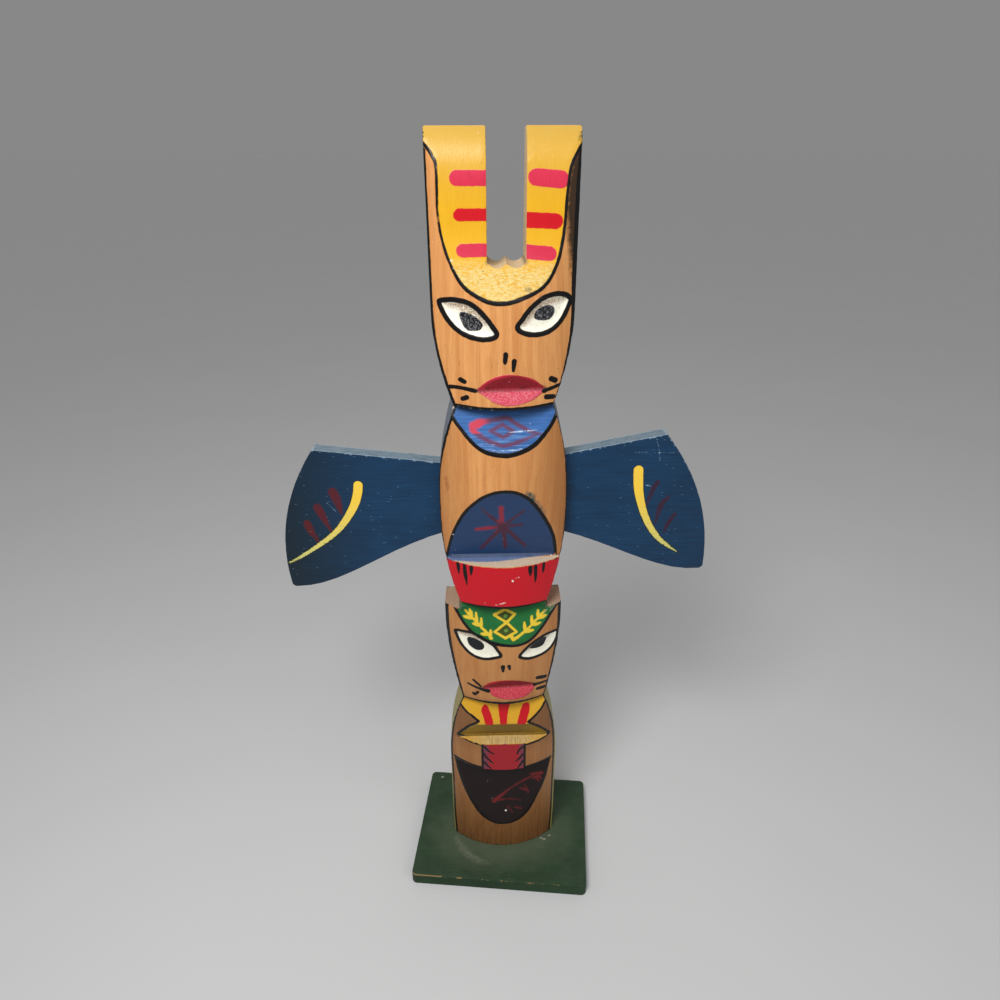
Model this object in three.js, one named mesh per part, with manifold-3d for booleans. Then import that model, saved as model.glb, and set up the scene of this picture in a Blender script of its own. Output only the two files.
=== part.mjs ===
// A small carved and painted wooden totem pole that stands on a table: one carved pole with two
// stacked animal heads, one winged board let into its back, and one flat base plate.
// Lengths are in millimetres and angles in degrees. +Z is up and the carved faces look along -Y.
// The origin is the middle of the base plate's underside.
import * as THREE from 'three';
import { mergeVertices } from 'three/addons/utils/BufferGeometryUtils.js';
import Module from 'manifold-3d';

const wasm = await Module();
wasm.setup();

// Driving dimensions of the pole's blank: a moulding with flat sides and back and a crowned front.
const poleHeight = 300;
const poleWidth = 47.3;
const crownDepth = 9.1; // from the two front arrises out to the middle of the crowned front
const flankDepth = 11.5; // from the front arrises to the flat back
const upperSplay = 1.6; // how much wider each side is at the back of the upper neck
const lowerSplay = 0.4; // the same for the two necks below

// Driving dimensions of the slot between the two ears, and the two gouge marks on its floor.
const earSlotWidth = 12;
const earSlotDepth = 37.7;
const earSlotShift = 1;
const gougeDepth = 1.5;

// Driving dimensions of the mouths: shallow V cuts across the crown.
const mouthDepth = 2;
const mouthTurn = 4.5; // the saw was held a little askew, so each cut runs deeper on one side
const mouthShift = 2.5;

// Driving dimensions of the winged board.
const wingSpan = 164;
const wingThickness = 6.3;
const wingRise = 21.6; // top corner of a wing above the board's middle
const wingDrop = 36.5; // lower tip of a wing below the board's middle
const waistHeight = 22.8; // the board's height at its narrow middle
const wingCentreHeight = 177; // the board's middle above the pole's foot
const leftCorner = 0.8; // the top corner of each wing, as a share of half the span
const rightCorner = 0.78;
const leftFullness = 1.035; // how far each wing's end swells, as a share of half the span
const rightFullness = 1.02;
const wingShift = -3.1;
const wingTilt = 1.95;
const glueGap = 0.3; // left all round the board in its groove

// Driving dimensions of the base plate and where the pole stands on it.
const baseWidth = 79;
const baseDepth = 59;
const baseThickness = 5.6;
const baseCornerRadius = 2.2;
const baseTurn = -6.2; // the pole was glued on a little askew
const poleForward = 1; // the pole's middle in front of the plate's middle

// How finely curved edges are divided.
const crownFacets = 26;
const sweepSteps = 9;
const wingSteps = 12;
const cornerFacets = 5;

// Heights on the pole, as shares of its height, named for what is carved there.
const browBend = 0.909;
const browFoot = 0.8345;
const cheekStart = 0.823;
const upperMouth = 0.7411;
const upperChin = 0.7203;
const throatFoot = 0.6637;
const breastFull = 0.592;
const breastTop = 0.6187;
const beakTop = 0.5137;
const beakFoot = 0.4523;
const shoulder = 0.4417;
const foreheadFoot = 0.391;
const jawStart = 0.415;
const lowerMouth = 0.318;
const lowerChin = 0.2923;
const collarLip = 0.2483;
const collarRoot = 0.2137;
const collarShelf = 0.212;
const apronTop = 0.163;
const bellyFull = 0.157;
const footStart = 0.05;

// Half widths of the front outline, as shares of the pole's width.
const upperNeckHalf = 0.352;
const middleNeckHalf = 0.35;
const shoulderHalf = 0.49;
const lowerNeckHalf = 0.36;
const footHalf = 0.489;

// How far each flat cut has left the crown standing, as shares of the crown's depth.
// A negative share lies behind the two front arrises.
const earTipLeft = -0.28;
const browBendLeft = 0.36;
const throatLeft = 0.28;
const breastLeft = 0.06;
const foreheadLeft = 0.26;
const collarTopLeft = 0.36;
const collarLipLeft = 0.84;
const collarRootLeft = 0.285;
const tongueLeft = 0.862;
const apronLeft = 0.2;

// Materials, by colour and gloss only.
const barePoleWood = new THREE.MeshStandardMaterial({ color: 0xd0935a, roughness: 0.5, metalness: 0 });
const bluePaint = new THREE.MeshStandardMaterial({ color: 0x1e4673, roughness: 0.45, metalness: 0 });
const greenPaint = new THREE.MeshStandardMaterial({ color: 0x2b4a30, roughness: 0.5, metalness: 0 });

// A closed geometry becomes a solid once its corners are shared.
function toSolid(geometry) {
  const bare = geometry.clone();
  bare.deleteAttribute('normal');
  bare.deleteAttribute('uv');
  const welded = mergeVertices(bare, 1e-4);
  const solid = new wasm.Manifold(new wasm.Mesh({
    numProp: 3,
    vertProperties: new Float32Array(welded.attributes.position.array),
    triVerts: new Uint32Array(welded.index.array),
  }));
  return solid;
}

// A solid becomes a geometry again, with flat faces.
function toGeometry(solid) {
  const mesh = solid.getMesh();
  const geometry = new THREE.BufferGeometry();
  geometry.setAttribute('position', new THREE.BufferAttribute(mesh.vertProperties, 3));
  geometry.setIndex(new THREE.BufferAttribute(mesh.triVerts, 1));
  const flat = geometry.toNonIndexed();
  flat.computeVertexNormals();
  return flat;
}

// Extrudes a shape drawn in X and Z along Y, from front to back.
function alongY(shape, front, back) {
  const geometry = new THREE.ExtrudeGeometry(shape, { depth: back - front, bevelEnabled: false });
  geometry.rotateX(Math.PI / 2);
  geometry.translate(0, back, 0);
  return geometry;
}

// Extrudes a shape drawn in Y and Z along X, to both sides of the middle.
function alongX(shape, halfLength) {
  const geometry = new THREE.ExtrudeGeometry(shape, { depth: 2 * halfLength, bevelEnabled: false });
  const turned = new THREE.Matrix4().makeBasis(
    new THREE.Vector3(0, 1, 0),
    new THREE.Vector3(0, 0, 1),
    new THREE.Vector3(1, 0, 0),
  );
  geometry.applyMatrix4(turned);
  geometry.translate(-halfLength, 0, 0);
  return geometry;
}

// Depth (a Y value) of a surface that leaves this share of the crown standing.
function leaving(share) {
  return -share * crownDepth;
}

// The blank: flat back and sides, and a front that is one arc through both arrises.
const halfWidth = poleWidth / 2;
const crownRadius = (halfWidth * halfWidth + crownDepth * crownDepth) / (2 * crownDepth);
const crownAngle = Math.asin(Math.min(1, halfWidth / crownRadius));

function blank() {
  const shape = new THREE.Shape();
  shape.moveTo(halfWidth, flankDepth);
  shape.lineTo(-halfWidth, flankDepth);
  for (let i = 0; i <= crownFacets; i += 1) {
    const angle = crownAngle * (2 * i / crownFacets - 1);
    shape.lineTo(crownRadius * Math.sin(angle), crownRadius - crownDepth - crownRadius * Math.cos(angle));
  }
  return toSolid(new THREE.ExtrudeGeometry(shape, { depth: poleHeight, bevelEnabled: false }));
}

// Adds the points of one swept stretch of an outline. The value leaves the first one slowly and
// reaches the second at the far end; a power above one keeps it near the first for longer.
function sweep(points, fromLevel, fromValue, toLevel, toValue, power) {
  for (let i = 0; i <= sweepSteps; i += 1) {
    const t = i / sweepSteps;
    points.push({
      level: fromLevel + (toLevel - fromLevel) * t,
      value: fromValue + (toValue - fromValue) * t ** power,
    });
  }
}

// The same stretch with its slow end last.
function sweepBack(points, fromLevel, fromValue, toLevel, toValue, power) {
  const reversed = [];
  sweep(reversed, toLevel, toValue, fromLevel, fromValue, power);
  points.push(...reversed.reverse());
}

// The front outline from the ear tips down: two heads that taper to their chins, with a
// breast that swells and tapers between them and a body that swells below.
function outlineSolid() {
  const right = [];
  const neck = (share) => share * poleWidth;
  right.push({ level: 1, value: halfWidth });
  sweep(right, cheekStart, halfWidth, upperChin, neck(upperNeckHalf), 1.8);
  sweepBack(right, upperChin - 0.002, neck(upperNeckHalf), breastFull, halfWidth, 2.1);
  sweep(right, breastFull - 0.01, halfWidth, beakFoot, neck(middleNeckHalf), 2.2);
  right.push({ level: shoulder, value: neck(middleNeckHalf) });
  right.push({ level: shoulder, value: neck(shoulderHalf) });
  sweep(right, jawStart, neck(shoulderHalf), lowerChin, neck(lowerNeckHalf), 1.6);
  sweepBack(right, lowerChin - 0.002, neck(lowerNeckHalf), bellyFull, halfWidth, 2.3);
  right.push({ level: footStart, value: halfWidth });
  right.push({ level: 0, value: neck(footHalf) });
  const shape = new THREE.Shape();
  for (const point of right) {
    const move = shape.curves.length || shape.currentPoint.lengthSq() ? 'lineTo' : 'moveTo';
    shape[move](point.value, point.level * poleHeight);
  }
  for (const point of right.slice().reverse()) {
    shape.lineTo(-point.value, point.level * poleHeight);
  }
  const geometry = alongY(shape, -crownDepth - 1, flankDepth);
  spreadBack(geometry, neck(middleNeckHalf));
  return toSolid(geometry);
}

// Widens the sawn-in parts of the outline a little at the back.
function spreadBack(geometry, neckHalf) {
  const position = geometry.attributes.position;
  for (let i = 0; i < position.count; i += 1) {
    const x = position.getX(i);
    const isBack = position.getY(i) > 0;
    const sawnIn = THREE.MathUtils.clamp((halfWidth - Math.abs(x)) / (halfWidth - neckHalf), 0, 1);
    const splay = position.getZ(i) > breastFull * poleHeight ? upperSplay : lowerSplay;
    if (isBack) position.setX(i, x + Math.sign(x) * splay * sawnIn);
  }
}

// The side profile from the ear tips down. Every flat cut runs straight across the pole, and where
// it meets the crowned front it leaves the U shapes that the painter outlined.
function profileSolid() {
  const front = [];
  const whole = leaving(1) - 1;
  sweepBack(front, 1, leaving(earTipLeft), browBend, leaving(browBendLeft), 4.5);
  sweep(front, browBend, leaving(browBendLeft), browFoot, leaving(1), 1.6);
  front.push({ level: browFoot, value: whole });
  front.push({ level: upperChin, value: whole });
  front.push({ level: upperChin, value: leaving(throatLeft) });
  front.push({ level: throatFoot, value: leaving(1) });
  front.push({ level: throatFoot, value: whole });
  front.push({ level: breastTop, value: whole });
  sweep(front, breastTop, leaving(1), beakTop, leaving(breastLeft), 0.85);
  front.push({ level: beakTop, value: whole });
  front.push({ level: beakFoot, value: whole });
  front.push({ level: beakFoot, value: leaving(foreheadLeft) });
  front.push({ level: foreheadFoot, value: leaving(1) });
  front.push({ level: foreheadFoot, value: whole });
  front.push({ level: lowerChin, value: whole });
  front.push({ level: lowerChin, value: leaving(collarTopLeft) });
  front.push({ level: collarLip, value: leaving(collarLipLeft) });
  front.push({ level: collarRoot, value: leaving(collarRootLeft) });
  front.push({ level: collarShelf, value: leaving(tongueLeft) });
  front.push({ level: apronTop, value: leaving(tongueLeft) });
  front.push({ level: apronTop, value: leaving(apronLeft) });
  front.push({ level: footStart, value: leaving(1) });
  front.push({ level: footStart, value: whole });
  front.push({ level: 0, value: whole });
  const shape = new THREE.Shape();
  shape.moveTo(flankDepth, 0);
  shape.lineTo(flankDepth, poleHeight);
  for (const point of front) shape.lineTo(point.value, point.level * poleHeight);
  return toSolid(alongX(shape, poleWidth));
}

// The slot that parts the two ears, with two rounded gouge marks side by side on its floor.
function earSlot() {
  const floor = poleHeight - earSlotDepth;
  const halfSlot = earSlotWidth / 2;
  const front = -crownDepth - 1;
  const shape = new THREE.Shape();
  shape.moveTo(halfSlot, floor);
  shape.lineTo(halfSlot, poleHeight + 1);
  shape.lineTo(-halfSlot, poleHeight + 1);
  shape.lineTo(-halfSlot, floor);
  for (const middle of [-halfSlot / 2, halfSlot / 2]) {
    for (let i = 1; i <= sweepSteps; i += 1) {
      const t = 2 * i / sweepSteps - 1;
      const isLast = middle > 0 && i === sweepSteps;
      if (!isLast) shape.lineTo(middle + t * halfSlot / 2, floor - gougeDepth * (1 - t * t));
    }
  }
  const geometry = alongY(shape, front, flankDepth + 1);
  geometry.translate(earSlotShift, 0, 0);
  return toSolid(geometry);
}

// One mouth: a V cut whose deepest line lies at the level, opening further up or down by the
// two shares of the pole's height, where it runs out on the crown.
function mouth(level, above, below) {
  const root = -crownDepth + mouthDepth;
  const past = 2;
  const shape = new THREE.Shape();
  shape.moveTo(root, 0);
  shape.lineTo(root - past * mouthDepth, past * above * poleHeight);
  shape.lineTo(root - past * mouthDepth, -past * below * poleHeight);
  const geometry = alongX(shape, poleWidth);
  geometry.translate(0, -root, 0);
  geometry.rotateZ(THREE.MathUtils.degToRad(mouthTurn));
  geometry.translate(mouthShift, root, level * poleHeight);
  return toSolid(geometry);
}

// The winged board's outline, drawn about its middle: a bow tie with long lower tips. The edges
// above and below stand out further by the margin, which the groove in the pole uses.
function wingShape(margin) {
  const halfSpan = wingSpan / 2;
  const waist = waistHeight / 2;
  const top = wingRise + margin;
  const low = -wingDrop - margin;
  const wing = (side, cornerShare, fullness) => {
    const at = (x, z) => new THREE.Vector2(side * x * halfSpan, z);
    const end = new THREE.QuadraticBezierCurve(
      at(cornerShare, top),
      at(fullness, -0.19 * wingRise),
      at(1, low * 0.97),
    );
    const underside = new THREE.CubicBezierCurve(
      at(0.985, low),
      at(0.707, low * 1.04),
      at(0.463, low * 0.376),
      at(0, -waist - margin),
    );
    return [...end.getPoints(wingSteps), ...underside.getPoints(wingSteps)];
  };
  const right = wing(1, rightCorner, rightFullness);
  const left = wing(-1, leftCorner, leftFullness).slice(0, -1).reverse();
  return new THREE.Shape([new THREE.Vector2(0, waist + margin), ...right, ...left]);
}

// Puts something drawn about the board's middle where the board sits in the pole.
function placeWing(geometry) {
  geometry.rotateY(-THREE.MathUtils.degToRad(wingTilt));
  geometry.translate(wingShift, 0, wingCentreHeight);
  return geometry;
}

const wingFront = flankDepth - wingThickness;

function wingGroove() {
  return toSolid(placeWing(alongY(wingShape(glueGap), wingFront - glueGap, flankDepth + 1)));
}

// The carved pole, all one piece of wood.
function poleGeometry() {
  let solid = blank().intersect(outlineSolid()).intersect(profileSolid());
  const cuts = [
    earSlot(),
    mouth(upperMouth, 0.0175, 0.0163),
    mouth(lowerMouth, 0.0143, 0.0193),
    wingGroove(),
  ];
  for (const cut of cuts) solid = solid.subtract(cut);
  return toGeometry(solid);
}

// The base plate: a rectangle with its four corners just rounded.
function baseGeometry() {
  const halfX = baseWidth / 2 - baseCornerRadius;
  const halfY = baseDepth / 2 - baseCornerRadius;
  const corners = [[halfX, halfY, 0], [-halfX, halfY, 90], [-halfX, -halfY, 180], [halfX, -halfY, 270]];
  const points = [];
  for (const [x, y, start] of corners) {
    for (let i = 0; i <= cornerFacets; i += 1) {
      const angle = THREE.MathUtils.degToRad(start + 90 * i / cornerFacets);
      points.push(new THREE.Vector2(
        x + baseCornerRadius * Math.cos(angle),
        y + baseCornerRadius * Math.sin(angle),
      ));
    }
  }
  return new THREE.ExtrudeGeometry(new THREE.Shape(points), { depth: baseThickness, bevelEnabled: false });
}

// A named piece of the object.
function piece(name, geometry, material) {
  const mesh = new THREE.Mesh(geometry, material);
  mesh.name = name;
  return mesh;
}

const totemPole = new THREE.Group();

const basePlate = piece('base_plate', baseGeometry(), greenPaint);
basePlate.rotation.z = THREE.MathUtils.degToRad(baseTurn);
totemPole.add(basePlate);

// The pole and the board let into its back stand together on the plate.
const figure = new THREE.Group();
const poleMiddle = (flankDepth - crownDepth) / 2;
figure.position.set(0, -poleForward - poleMiddle, baseThickness);
figure.add(piece('carved_pole', poleGeometry(), barePoleWood));
figure.add(piece('wing_board', placeWing(alongY(wingShape(0), wingFront, flankDepth)), bluePaint));
totemPole.add(figure);

export default totemPole;
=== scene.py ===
# %% [markdown]
# # A small carved and painted totem pole
# The object is a souvenir-sized totem pole: one carved pole with two stacked animal heads, one
# winged board let into its back, and one flat base plate. Everything is a soft wood, sawn,
# sanded, and painted by hand over a clear varnish. This lesson dresses the plain CAD solids:
# each one is copied, divided finely, softened at its corners and then painted. The CAD solids
# stay where they are, hidden from view.

# %% Tools, the frame and its box
import math

import bmesh
import bpy
import numpy as np
from mathutils import Matrix, Vector
from mathutils.kdtree import KDTree


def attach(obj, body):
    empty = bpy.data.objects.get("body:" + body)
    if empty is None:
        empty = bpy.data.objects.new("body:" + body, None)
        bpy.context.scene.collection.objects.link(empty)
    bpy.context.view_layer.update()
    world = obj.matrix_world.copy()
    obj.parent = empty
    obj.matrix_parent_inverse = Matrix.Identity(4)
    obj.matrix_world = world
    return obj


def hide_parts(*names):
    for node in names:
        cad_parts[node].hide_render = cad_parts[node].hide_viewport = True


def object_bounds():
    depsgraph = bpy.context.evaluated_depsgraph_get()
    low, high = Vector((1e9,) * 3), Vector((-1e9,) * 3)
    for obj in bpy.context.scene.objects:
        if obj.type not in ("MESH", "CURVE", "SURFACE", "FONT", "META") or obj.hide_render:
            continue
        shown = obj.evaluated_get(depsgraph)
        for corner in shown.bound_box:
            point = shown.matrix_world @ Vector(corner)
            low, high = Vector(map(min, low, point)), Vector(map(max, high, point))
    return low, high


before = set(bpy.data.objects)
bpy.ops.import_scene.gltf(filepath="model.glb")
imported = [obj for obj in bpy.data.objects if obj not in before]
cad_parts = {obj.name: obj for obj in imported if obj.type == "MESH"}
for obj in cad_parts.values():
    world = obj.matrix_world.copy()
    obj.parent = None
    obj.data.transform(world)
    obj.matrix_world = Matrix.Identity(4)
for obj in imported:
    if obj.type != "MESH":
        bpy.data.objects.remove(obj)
cad_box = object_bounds()
MM = 0.001
print("CAD box in mm:", [[round(float(v) / MM, 2) for v in corner] for corner in cad_box])

# %% [markdown]
# ## Camera
# The view is from close by, a little above the ears' height, and looks down at the pole. A
# short lens close to a tall object makes the ears look wide and the base small, so the camera's
# distance matters as much as its angle. The camera is turned in three steps: pitched down, turned
# a little to the right, and rolled by a sixth of a degree.

# %% Camera at the photograph's viewing angle
LENS = 25.2
CAMERA_PLACE = Vector((-6.94, -233.47, 299.30)) * MM
PITCH_DOWN = 26.637
TURN_RIGHT = 1.435
ROLL = 0.17

camera_data = bpy.data.cameras.new("camera")
camera_data.lens = LENS
camera_data.sensor_width = 36
camera_data.clip_start = 0.01
camera = bpy.data.objects.new("camera", camera_data)
bpy.context.scene.collection.objects.link(camera)
turned = Matrix.Rotation(math.radians(-TURN_RIGHT), 4, "Z")
pitched = Matrix.Rotation(math.radians(90 - PITCH_DOWN), 4, "X")
rolled = Matrix.Rotation(math.radians(-ROLL), 4, "Z")
camera.matrix_world = Matrix.Translation(CAMERA_PLACE) @ turned @ pitched @ rolled
bpy.context.scene.camera = camera
print("camera stands", round((CAMERA_PLACE - Vector((0, 0, 0.15))).length, 3), "m from the pole")


# %% [markdown]
# ## Helpers for the mesh work
# A CAD node's mesh is loose triangles, so a copy is merged first. Operators act on everything
# that is selected, so each helper first deselects all and picks one piece.

# %% Picking, copying and dividing a piece
def pick(piece):
    bpy.ops.object.select_all(action="DESELECT")
    piece.select_set(True)
    bpy.context.view_layer.objects.active = piece


def copy_of(node_name, name):
    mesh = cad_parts[node_name].data.copy()
    mesh.materials.clear()
    piece = bpy.data.objects.new(name, mesh)
    bpy.context.scene.collection.objects.link(piece)
    pick(piece)
    bpy.ops.object.mode_set(mode="EDIT")
    bpy.ops.mesh.select_all(action="SELECT")
    bpy.ops.mesh.remove_doubles(threshold=1e-6)
    bpy.ops.object.mode_set(mode="OBJECT")
    return piece


def apply(piece, kind, **settings):
    pick(piece)
    modifier = piece.modifiers.new("work", kind)
    for name, value in settings.items():
        setattr(modifier, name, value)
    bpy.ops.object.modifier_apply(modifier="work")


def places(piece):
    flat = np.empty(len(piece.data.vertices) * 3)
    piece.data.vertices.foreach_get("co", flat)
    return flat.reshape(-1, 3) / MM


def normals(piece):
    flat = np.empty(len(piece.data.vertices) * 3)
    piece.data.vertices.foreach_get("normal", flat)
    return flat.reshape(-1, 3)


def move_to(piece, points):
    piece.data.vertices.foreach_set("co", (points * MM).ravel())
    piece.data.update()


def keep_in_box(piece):
    """Clips the finished piece into the box of the CAD solids, so that it stands nowhere proud of it, not
    even by a rounding error.
    """
    low, high = (np.array([float(v) for v in corner]) / MM for corner in cad_box)
    move_to(piece, np.clip(places(piece), low + 0.002, high - 0.002))


print("helpers for meshes are ready")


# %% [markdown]
# ## Where the corners are
# Paint wears off the outer corners of a wooden thing, and the inner corners are painted darker as shade.
# Both need to know how far each point is from such a corner, so the sharp edges of the plain solid are
# sampled before the piece is divided, and a k-d tree then finds the nearest sample.

# %% Distances from the outer and inner corners
def corner_samples(piece, outer, sharper_than=28, step=0.1):
    mesh = bmesh.new()
    mesh.from_mesh(piece.data)
    samples = []
    for edge in mesh.edges:
        if not edge.is_manifold or math.degrees(edge.calc_face_angle(0)) < sharper_than:
            continue
        if edge.is_convex is not outer:
            continue
        start, end = (corner.co / MM for corner in edge.verts)
        count = max(2, int((end - start).length / step))
        samples += [start.lerp(end, i / count) for i in range(count + 1)]
    mesh.free()
    tree = KDTree(max(1, len(samples)))
    for i, sample in enumerate(samples):
        tree.insert(sample, i)
    tree.balance()
    return tree


def nearness(points, tree, reach):
    found = [tree.find(point)[2] for point in points]
    return np.array([reach if d is None else min(d, reach) for d in found])


def draw_to_corners(piece, tree, within=0.5, share=0.75):
    """Draws the points beside a sharp corner towards it, so that the piece keeps its full width."""
    points = places(piece)
    for i, point in enumerate(points):
        nearest, _, distance = tree.find(point)
        if distance is not None and distance < within:
            points[i] = point + (np.array(nearest) - point) * share
    move_to(piece, points)


print("corner finder is ready")


# %% [markdown]
# ## Dividing and softening
# A Remesh modifier in its voxel mode covers a solid with small even faces, but its corners come
# out ragged. So two copies are made. The first is very fine, and smoothing rubs its corners round
# as sandpaper would. The second has the face size that the finished piece can afford, and a
# Shrinkwrap modifier lays it on the first. The fine copy is thrown away at the end.

# %% A rubbed copy to lie on, and a lighter one to work with
FINE_CELL = 0.36


def rubbed_copy(node_name, rounds):
    fine = copy_of(node_name, node_name + "_rubbed")
    apply(fine, "REMESH", mode="VOXEL", voxel_size=FINE_CELL * MM)
    apply(fine, "SMOOTH", factor=0.5, iterations=rounds)
    fine.hide_render = True
    return fine


def lay_on(piece, target):
    apply(piece, "SHRINKWRAP", target=target, wrap_method="NEAREST_SURFACEPOINT", wrap_mode="ON_SURFACE")


def triangles_of(piece):
    return sum(len(face.vertices) - 2 for face in piece.data.polygons)


POLE_CELL = 0.92
pole_rubbed = rubbed_copy("carved_pole", rounds=3)
pole = copy_of("carved_pole", "painted_pole")
pole_outer = corner_samples(pole, outer=True)
pole_inner = corner_samples(pole, outer=False)
apply(pole, "REMESH", mode="VOXEL", voxel_size=POLE_CELL * MM)
lay_on(pole, pole_rubbed)
print("pole has", triangles_of(pole), "triangles before its painted edges are refined")


# %% [markdown]
# ## Brush strokes as real sizes
# The painter's shapes are given by a few points each, in millimetres across (x) and up (z) as they
# lie on the front of the pole, and a smooth curve is drawn through them. For every point of the
# mesh the script works out how deep it lies inside a painted shape: positive inside, negative
# outside. That depth is kept as an attribute, and the material turns it into a crisp edge.

# %% Curves, strokes and filled shapes
FAR = -3.0
CURVE_STEPS = 5


def curve_through(points, closed=False):
    given = np.array(points, dtype=float)
    count = len(given)
    if count < 3:
        return given
    drawn = []
    spans = count if closed else count - 1
    for i in range(spans):
        if closed:
            before, start, end, after = (given[(i + k) % count] for k in (-1, 0, 1, 2))
        else:
            before, start, end, after = (given[min(max(i + k, 0), count - 1)] for k in (-1, 0, 1, 2))
        for step in range(CURVE_STEPS):
            t = step / CURVE_STEPS
            drawn.append(0.5 * (2 * start + (end - before) * t
                                + (2 * before - 5 * start + 4 * end - after) * t ** 2
                                + (3 * start - before - 3 * end + after) * t ** 3))
    drawn.append(given[0] if closed else given[-1])
    return np.array(drawn)


def along_line(spots, line):
    """Distance from each spot to a line of points, and how far along the line it is, 0 to 1."""
    starts, ends = line[:-1], line[1:]
    lengths = np.linalg.norm(ends - starts, axis=1)
    reached = np.concatenate([[0], np.cumsum(lengths)])
    best = np.full(len(spots), 1e9)
    share = np.zeros(len(spots))
    for start, end, length, done in zip(starts, ends, lengths, reached):
        direction = (end - start) / max(length, 1e-9)
        t = np.clip((spots - start) @ direction, 0, length)
        distance = np.linalg.norm(spots - start - t[:, None] * direction, axis=1)
        nearer = distance < best
        best[nearer] = distance[nearer]
        share[nearer] = (done + t[nearer]) / max(reached[-1], 1e-9)
    return best, share


def inside(spots, outline):
    crossed = np.zeros(len(spots), dtype=bool)
    for (ax, az), (bx, bz) in zip(outline, np.roll(outline, -1, axis=0)):
        spans = (az > spots[:, 1]) != (bz > spots[:, 1])
        at = (bx - ax) * (spots[:, 1] - az) / (bz - az if bz != az else 1e-9) + ax
        crossed ^= spans & (spots[:, 0] < at)
    return crossed


def near_shape(spots, line, margin):
    low, high = line.min(axis=0) - margin, line.max(axis=0) + margin
    return np.flatnonzero(((spots > low) & (spots < high)).all(axis=1))


def lay_stroke(layer, spots, points, widths, smooth=True, closed=False):
    """Adds one brush stroke. The widths are spread evenly along it."""
    line = curve_through(points, closed) if smooth else np.array(list(points) + list(points[:closed]),
                                                                 dtype=float)
    widths = np.atleast_1d(np.array(widths, dtype=float))
    near = near_shape(spots, line, widths.max() / 2 - FAR)
    distance, share = along_line(spots[near], line)
    half = np.interp(share, np.linspace(0, 1, len(widths)), widths / 2)
    layer[near] = np.maximum(layer[near], np.maximum(half - distance, FAR))


def lay_area(layer, spots, points, smooth=False):
    """Adds one filled shape."""
    outline = curve_through(points, closed=True) if smooth else np.array(points, dtype=float)
    near = near_shape(spots, outline, -FAR)
    closed = np.vstack([outline, outline[:1]])
    distance, _ = along_line(spots[near], closed)
    depth = np.where(inside(spots[near], outline), distance, -distance)
    layer[near] = np.maximum(layer[near], np.clip(depth, FAR, -FAR))


print("brush helpers are ready")

# %% [markdown]
# ## The painter's shapes on the upper head
# The top third of the pole is an animal's head. Between its two ears lies a yellow scoop with three
# red bars on each ear, bordered by one black line. Below are two slanting eyes, two short nostrils,
# a red mouth and a few whiskers.

# %% Upper head
SCOOP_LINE = [(-23.9, 301.2), (-22.3, 299.6), (-21.0, 297.7), (-19.9, 295.2), (-19.8, 288.8),
              (-19.9, 283.5),
              (-19.1, 275.9), (-16.6, 267.8), (-12.5, 261.0), (-6.1, 257.0), (-0.9, 256.1), (4.4, 257.0),
              (12.5, 260.7), (16.8, 267.6), (18.7, 276.9), (19.3, 287.5), (20.2, 294.6), (22.3, 298.8),
              (23.9, 301.0)]
EAR_BARS = [
    [(-13.9, 291.6), (-3.0, 291.6)], [(-13.4, 281.5), (-3.0, 281.5)], [(-12.6, 271.4), (-3.0, 271.4)],
    [(9.9, 291.8), (17.2, 291.1)], [(5.0, 280.1), (16.0, 279.6)], [(5.0, 271.2), (14.4, 270.3)],
]
EAR_BAR_WIDTHS = [4.5, 3.7, 4.0, 5.0, 4.6, 4.3]
# The dark band along the right ear's outer edge: partly black paint smudged from the corner line, partly
# painted shade where the ear turns away from the light.
EAR_SMEAR_AND_SHADE = [(28, 301.5), (22.4, 301.0), (19.8, 297), (18.4, 289), (18.4, 282), (19.2, 275), (20.6, 267),
             (21.9, 259), (23.2, 251), (28, 250)]
EYE_UPPER_LEFT = [(-20.5, 255.6), (-18.6, 256.5), (-15.2, 256.8), (-11.7, 256.3), (-8.6, 254.6),
                  (-5.8, 251.8),
                  (-3.8, 249.2), (-2.2, 246.6), (-3.6, 245.3), (-6.6, 244.8), (-10.0, 245.3), (-13.0,
                                                                                               246.3),
                  (-15.5, 247.9), (-17.6, 250.0), (-19.2, 252.3)]
EYE_UPPER_RIGHT = [(21.8, 256.1), (19.6, 257.8), (16.5, 258.3), (13.1, 257.6), (10.1, 255.8), (7.6, 253.4),
                   (5.8, 251.0), (4.3, 248.8), (5.5, 247.2), (8.5, 246.2), (12.1, 246.1), (15.5, 247.1),
                   (18.1, 249.1), (19.9, 251.5), (21.0, 253.9)]
PUPIL_UPPER_LEFT = [(-14.1, 252.2), (-12.9, 253.1), (-10.5, 252.6), (-8.2, 251.3), (-6.6, 249.5),
                    (-7.2, 247.9),
                    (-9.7, 247.2), (-11.7, 247.5), (-13.0, 249.0)]
PUPIL_UPPER_RIGHT = [(9.6, 252.3), (10.9, 254.0), (13.3, 254.9), (15.5, 254.7), (16.4, 253.3),
                     (16.0, 251.5),
                     (14.5, 250.3), (11.9, 250.3), (10.0, 251.0)]
SCRAPED_LIDS = [
    [(-18.0, 255.2), (-13.9, 255.0), (-9.6, 253.2), (-6.0, 250.3)],
    [(6.3, 249.8), (9.9, 253.4), (14.4, 256.0), (19.0, 256.6)],
    [(-17.5, 126.6), (-12.9, 126.6), (-9.2, 125.0)], [(9.5, 120.0), (13.3, 122.6), (17.5, 124.0)],
]
MOUTH_UPPER = [(-8.8, 228.1), (-6.8, 230.2), (-4.4, 231.9), (-1.6, 233.0), (1.8, 233.4), (5.3, 233.0),
               (8.8, 231.9), (11.5, 230.2), (13.9, 227.7), (12.6, 226.2), (10.7, 224.8), (7.5, 223.5),
               (4.0, 222.8), (0.5, 222.7), (-3.0, 223.7), (-5.8, 225.6), (-7.7, 226.9)]
NOSTRILS_UPPER = [[(0.6, 240.1), (0.4, 237.4)], [(3.4, 237.8), (3.1, 234.8)]]
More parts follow.
